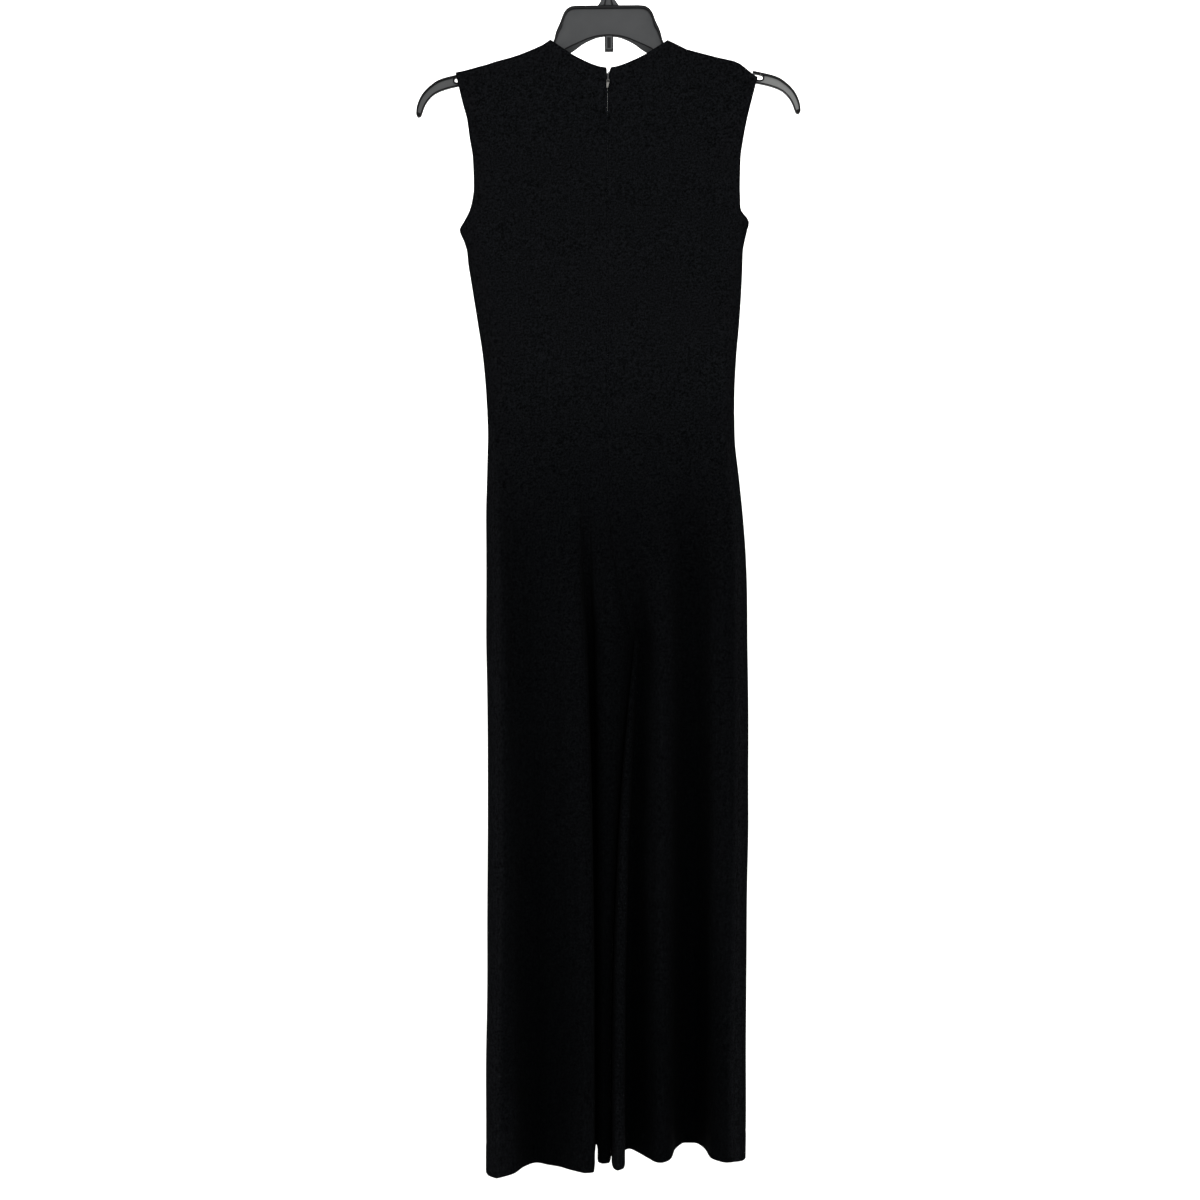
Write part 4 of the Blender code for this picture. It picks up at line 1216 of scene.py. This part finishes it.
# ---------------------------------------------------------------- hanger
@dataclass
class MouldedHanger:
    """One-piece moulded hanger: a thin web between two rims, a head, a peg and a hook."""

    tilt: float = 0.5          # degrees that the hanger has swung, its right side up
    left_longer: float = 1.006     # the left arm's length as a share of the right's
    rim_top: tuple[float, float] = (3.6, 3.0)      # half depth and height
    rim_low: tuple[float, float] = (2.4, 1.8)      # half depth and height
    web_half: float = 1.25
    edge: float = 0.6          # radius of the rims' edges
    hook_radius: float = 26.5
    hook_bar: float = 4.5
    hook_half: float = 3.2
    groove: float = 0.35       # the foot's grooves, as a share of its half width
    ribs_top: float = -68.0    # top of the grooves' polished faces
    # One row for each station from the middle out: top x, top z, bottom x, bottom z, and how far
    # the web hangs below the lower rim.
    stations: Rows = (
        (0, -79, 0, -117, 0.2), (12, -79, 12, -118.3, 0.6), (24, -79, 22.5, -122, 1.9),
        (36, -79, 33, -127.5, 3.2), (45, -79.6, 41, -133.5, 5.6), (51, -82.5, 48, -138, 7),
        (55.8, -88.7, 53, -140.5, 7), (59.6, -98.7, 57, -142.5, 6),
        (65.2, -111.3, 61.5, -144.5, 3.5), (69.2, -125.5, 66.5, -147, 1.2),
        (75.5, -133, 73, -149.7, 0), (84, -136, 80, -152.3, 0), (99, -141.5, 95, -158, 0),
        (121, -148, 117, -163, 0), (136, -152.5, 132, -166.5, 0), (152, -156.5, 149, -170, 0),
        (167, -160, 165, -173.5, 0), (181.5, -162.8, 180, -177, 0), (197, -166.2, 195, -180, 0),
        (206, -168.5, 204, -182.4, 0), (214, -171.6, 212.3, -185.4, 0),
        (222, -177, 219.3, -189.4, 0), (229, -183.5, 224.3, -194.2, 0),
        (234.5, -190.5, 228.3, -199.5, 0), (238.5, -199, 231.1, -205.2, 0),
        (240.6, -207, 233, -210.5, 0), (241, -213.5, 234.6, -214.8, 0),
        (239.6, -216.6, 236.6, -217, 0))
    notch: Rows = (
        (164, -150), (181.5, -150), (181.5, -165), (190.5, -167.2), (193.6, -169.2), (194, -173),
        (190.5, -174.2), (184, -172.4), (172, -165), (164, -157))
    notch_lip: Rows = (
        (164.5, -158.2), (168, -161.8), (172, -165.8), (177, -169.8), (182, -172.9),
        (186, -174.4), (190, -175), (193.2, -174.4), (194.8, -172.4), (194.8, -169.4),
        (193.8, -167.6))

    # The polished nose over each notch: its inner and outer x, and its lowest z.
    beak: Point = (180.0, 191.0, -168.5)
    # The hook's flared foot: x, z and half width.
    foot: Rows = ((0.4, -78.7, 13.6), (0.4, -76.6, 12.4), (0.4, -74.5, 10.8), (0.5, -71.0, 8.9),
                  (2.0, -64.0, 6.4))

    def section(self, top: Vector, bottom: Vector, lip: float, closed: float,
                steep: float) -> list[Point]:
        """Ring of an I with rounded rims between two points, and the web's lip below it.

        Args:
            top: x and z of the top edge.
            bottom: x and z of the bottom edge.
            lip: How far the web hangs below the lower rim.
            closed: 0 for an open I, 1 where the rims meet at the arm's tip.
            steep: Height of the upper rim along the section, as a share of its own height.

        Returns:
            Points in order round the section.
        """
        height = (bottom - top).length
        down = (bottom - top).normalized()
        lip = max(lip, 0.05)
        side: list[tuple[float, float]] = []
        for (half, rim), start in ((self.rim_top, 0), (self.rim_low, 1)):
            rim = min(rim * (steep if start == 0 else 1), height * 0.25)
            web = self.web_half + (half - self.web_half) * closed * (1 - start)
            radius = min(self.edge, rim * 0.3)
            fillet = 0.5 * (1 - closed)
            flank = [(half - radius + radius * math.cos(math.radians(a)),
                      rim - radius + radius * math.sin(math.radians(a))) for a in (0, 45, 90)]
            flank += [(web + fillet, rim), (web + fillet * 0.3, rim + fillet * 0.3),
                      (web, rim + fillet)]
            if start == 0:
                side += [(half - radius + radius * math.sin(math.radians(a)),
                          radius - radius * math.cos(math.radians(a))) for a in (0, 45, 90)]
                side += flank
            else:
                side += [(y, height - lip - h) for y, h in reversed(flank)]
                side += [(half - radius + radius * math.cos(math.radians(a)),
                          height - lip - radius + radius * math.sin(math.radians(a)))
                         for a in (0, 45, 90)]
                side += [(self.web_half, height - lip), (self.web_half, height)]
        ring = side + [(-y, h) for y, h in reversed(side)]
        return [(top.x + down.x * h, y, top.y + down.y * h) for y, h in ring]

    def body(self, finishes: Sequence[bpy.types.Material]) -> bpy.types.Object:
        """The head and both arms, with the strap notches cut and rimmed.

        Args:
            finishes: The grained and the polished plastic.

        Returns:
            The hanger's body.
        """
        half = np.array(self.stations)
        longer = self.left_longer
        whole = np.concatenate([half[:0:-1] * (-longer, 1, -longer, 1, 1), half])
        middle = (whole[:, :2] + whole[:, 2:4]) / 2
        knots = running_length(middle)
        at = np.interp(np.linspace(0, len(whole) - 1, 4 * (len(whole) - 1) + 1),
                       np.arange(len(whole)), knots)
        fine = shape_keeping_curve(knots, whole, at)
        rings = []
        slopes = np.gradient(fine[:, :2], axis=0)
        for place, (ax, az, bx, bz, lip), (run, fall) in zip(at, fine, slopes):
            to_tip = min(place - at[0], at[-1] - place)
            closed = float(1 - ease((to_tip - 3.0) / 3.0))
            down = Vector((bx - ax, bz - az)).normalized()
            turned = abs(Vector((run, fall)).normalized().cross(down))
            thicker = 1 + 0.35 * float(ease((78 - abs(ax)) / 10))
            rings.append(self.section(Vector((ax, az)), Vector((bx, bz)), lip, closed,
                                      thicker / max(turned, 0.3)))
        body = loft("hanger_body_moulded", rings, finishes)
        depth = self.rim_top[0] + 4
        extras = []
        for side in Side:
            ends = [[(side.value * x, y, z) for x, z in self.notch] for y in (-depth, depth)]
            cut_away(body, loft("notch_tool", ends, finishes))
            path = [(side.value * x, 0.0, z) for x, z in smooth_line(self.notch_lip, 40)]
            extras.append(loft("notch_lip", sweep_sections(
                path, rounded_profile(self.rim_low[0], 1.0, 0.4), (0, 1, 0)), finishes))
        made = join_pieces(body, extras, ["hanger_body"], GARMENT_BODY)
        beak_in, beak_out, beak_low = (value * MM for value in self.beak)
        for face in made.data.polygons:
            on_rim = abs(face.center.y) > (self.web_half + 0.4) * MM
            on_beak = beak_in < abs(face.center.x) < beak_out and face.center.z > beak_low
            face.material_index = 1 if on_rim or on_beak else 0
        return made

    def peg(self, finishes: Sequence[bpy.types.Material]) -> bpy.types.Object:
        """The small flat peg under the head, with its recessed slit.

        Args:
            finishes: The grained and the polished plastic.

        Returns:
            The peg.
        """
        peg = box_piece("hanger_peg_moulded", (-4.6, -3.0, -136.0), (6.4, 3.2, -117.3), finishes)
        soften_edges(peg, 0.5)
        for face in peg.data.polygons:
            face.material_index = 1
        panel = box_piece("peg_panel", (-3.3, -3.2, -134.6), (5.1, -2.0, -117.4), finishes)
        cut_away(panel, box_piece("slit_tool", (-1.3, -5.0, -133.0), (3.1, 0.0, -119.5),
                                  finishes))
        merge_meshes(peg, [panel])
        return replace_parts(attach(peg, GARMENT_BODY), "hanger_peg")

    def hook(self, finishes: Sequence[bpy.types.Material]) -> bpy.types.Object:
        """The moulded hook: an oval bar with a ribbed, flared foot.

        Args:
            finishes: The grained and the polished plastic.

        Returns:
            The hook.
        """
        centre_z = -(self.hook_radius - self.hook_bar)
        route = [*self.foot, (6.5, -55.5, 5.2), (13.0, -47.0, 4.6),
                 (20.0, -38.0, self.hook_bar), (24.8, -30.0, self.hook_bar)]
        for k in range(25):
            angle = math.radians(205 * k / 24)
            route.append((self.hook_radius * math.cos(angle),
                          centre_z + self.hook_radius * math.sin(angle), self.hook_bar))
        route += [(-22.4, -36.5, 3.8), (-21.4, -38.3, 3.0), (-20.7, -39.2, 1.6)]
        table = np.array(route)
        knots = running_length(table[:, :2])
        fine = shape_keeping_curve(knots, table, np.linspace(0, knots[-1], 130))
        rings = []
        for k, (x, z, half) in enumerate(fine):
            ahead = fine[min(k + 1, len(fine) - 1), :2] - fine[max(k - 1, 0), :2]
            way = Vector(ahead).normalized() if k > 2 else Vector((0, 1))
            across = Vector((way.y, -way.x))
            deep = self.hook_half if half > 3 else self.hook_half * 0.7 * half / 3 + 0.4
            ribbed = float(ease((-66 - z) / 8)) if k < 30 else 0.0
            ring = []
            for a in range(64):
                angle = 2 * math.pi * a / 64
                u, v = math.cos(angle), math.sin(angle)
                u, v = math.copysign(abs(u) ** 0.8, u), math.copysign(abs(v) ** 0.8, v)
                rib = 1 - ribbed * 0.4 * math.exp(-((abs(u) - self.groove) / 0.09) ** 2)
                ring.append((x + across.x * half * u, deep * v * rib, z + across.y * half * u))
            rings.append(ring)
        hook = loft("hanger_hook_moulded", rings, finishes)
        foot_x, foot_z, foot_half = np.array(self.foot).T
        for face in hook.data.polygons:
            x, z = face.center.x / MM, face.center.z / MM
            if z < self.ribs_top:
                across = abs(x - foot_x[0]) / float(np.interp(z, foot_z, foot_half))
                in_groove = abs(across - self.groove) < 0.1 or across > 0.86
                face.material_index = 1 if in_groove else 0
        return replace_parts(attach(hook, GARMENT_BODY), "hanger_hook")

    def build(self) -> list[bpy.types.Object]:
        """Makes the hanger and swings it by its tilt.

        Returns:
            Its pieces.
        """
        grained, polished = WEB_STYRENE.make(), RIM_STYRENE.make()
        made = [self.body([grained, polished]), self.peg([grained, polished]),
                self.hook([grained, polished])]
        swing = Matrix.Rotation(-math.radians(self.tilt), 4, "Y")
        for piece in made:
            piece.data.transform(swing)
            log.info("%s: %d faces", piece.name, len(piece.data.polygons))
        return made


# ---------------------------------------------------------------- studio
@dataclass(frozen=True)
class SoftBox:
    """A square soft light that is aimed at a point."""

    name: str
    place: Point
    aim: Point
    size: float
    watts: float

    def hang(self) -> None:
        """Adds the light to the scene."""
        data = bpy.data.lights.new(self.name, "AREA")
        data.shape, data.size, data.energy = "SQUARE", self.size, self.watts
        lamp = put_in_scene(self.name, data)
        lamp.location = self.place
        lamp.rotation_mode = "QUATERNION"
        way = Vector(self.aim) - Vector(self.place)
        lamp.rotation_quaternion = way.to_track_quat("-Z", "Y")


@dataclass
class Studio:
    """Camera, a pale floor that sweeps up behind the garment, and soft light."""

    camera_place: Point = (-0.0094, -1.8, -0.8265)
    lens: float = 42.9
    floor_z: float = -3.1
    wall_y: float = 3.6
    sweep: float = 1.4
    half_width: float = 5.0
    lights: tuple[SoftBox, ...] = (
        SoftBox("front_soft_light", (0.9, -3.0, 0.8), (0.0, 0.0, -0.7), 1.8, 60.0),
        SoftBox("side_soft_light", (-2.4, -1.6, -0.3), (0.0, 0.0, -0.8), 1.4, 14.0),
        SoftBox("backdrop_light", (0.0, 1.6, 2.2), (0.0, 3.6, -0.8), 3.0, 180.0))

    def camera(self) -> None:
        """Sets the camera level at the middle of the garment's height."""
        data = bpy.data.cameras.new("level_camera")
        data.lens, data.sensor_width = self.lens, 36.0
        made = put_in_scene("level_camera", data)
        made.location = self.camera_place
        made.rotation_euler = (math.pi / 2, 0, 0)
        bpy.context.scene.camera = made

    def backdrop(self) -> None:
        """Rolls out the paper: floor, sweep and wall in one sheet."""
        profile = [(-6.0, self.floor_z)]
        for k in range(25):
            angle = math.radians(90 * k / 24)
            profile.append((self.wall_y - self.sweep + self.sweep * math.sin(angle),
                            self.floor_z + self.sweep * (1 - math.cos(angle))))
        profile.append((self.wall_y, 3.2))
        points = [(x / MM, y / MM, z / MM) for y, z in profile
                  for x in (-self.half_width, self.half_width)]
        faces = [(2 * k, 2 * k + 1, 2 * k + 3, 2 * k + 2) for k in range(len(profile) - 1)]
        paper = mesh_object("paper_sweep", points, faces, [SeamlessPaper().make()])

    def world(self) -> None:
        """Even white light from all round, as in a white room."""
        world = bpy.data.worlds.new("white_room")
        world.use_nodes = True
        sky = world.node_tree.nodes["Background"]
        sky.inputs["Color"].default_value = linear("#ffffff")
        sky.inputs["Strength"].default_value = 0.85
        bpy.context.scene.world = world
        bpy.context.scene.view_settings.view_transform = "Standard"

    def build(self) -> None:
        """Sets up the whole studio."""
        self.camera()
        self.backdrop()
        self.world()
        for light in self.lights:
            light.hang()
        log.info("studio: camera, paper sweep and %d lights", len(self.lights))


def main() -> None:
    """Builds the studio, the garment, its zip and its hanger in order."""
    logging.basicConfig(level=logging.INFO, format="%(name)s: %(message)s")
    Studio().build()
    Jumpsuit().build()
    ConcealedZip().build()
    MouldedHanger().build()


if __name__ == "__main__":
    main()
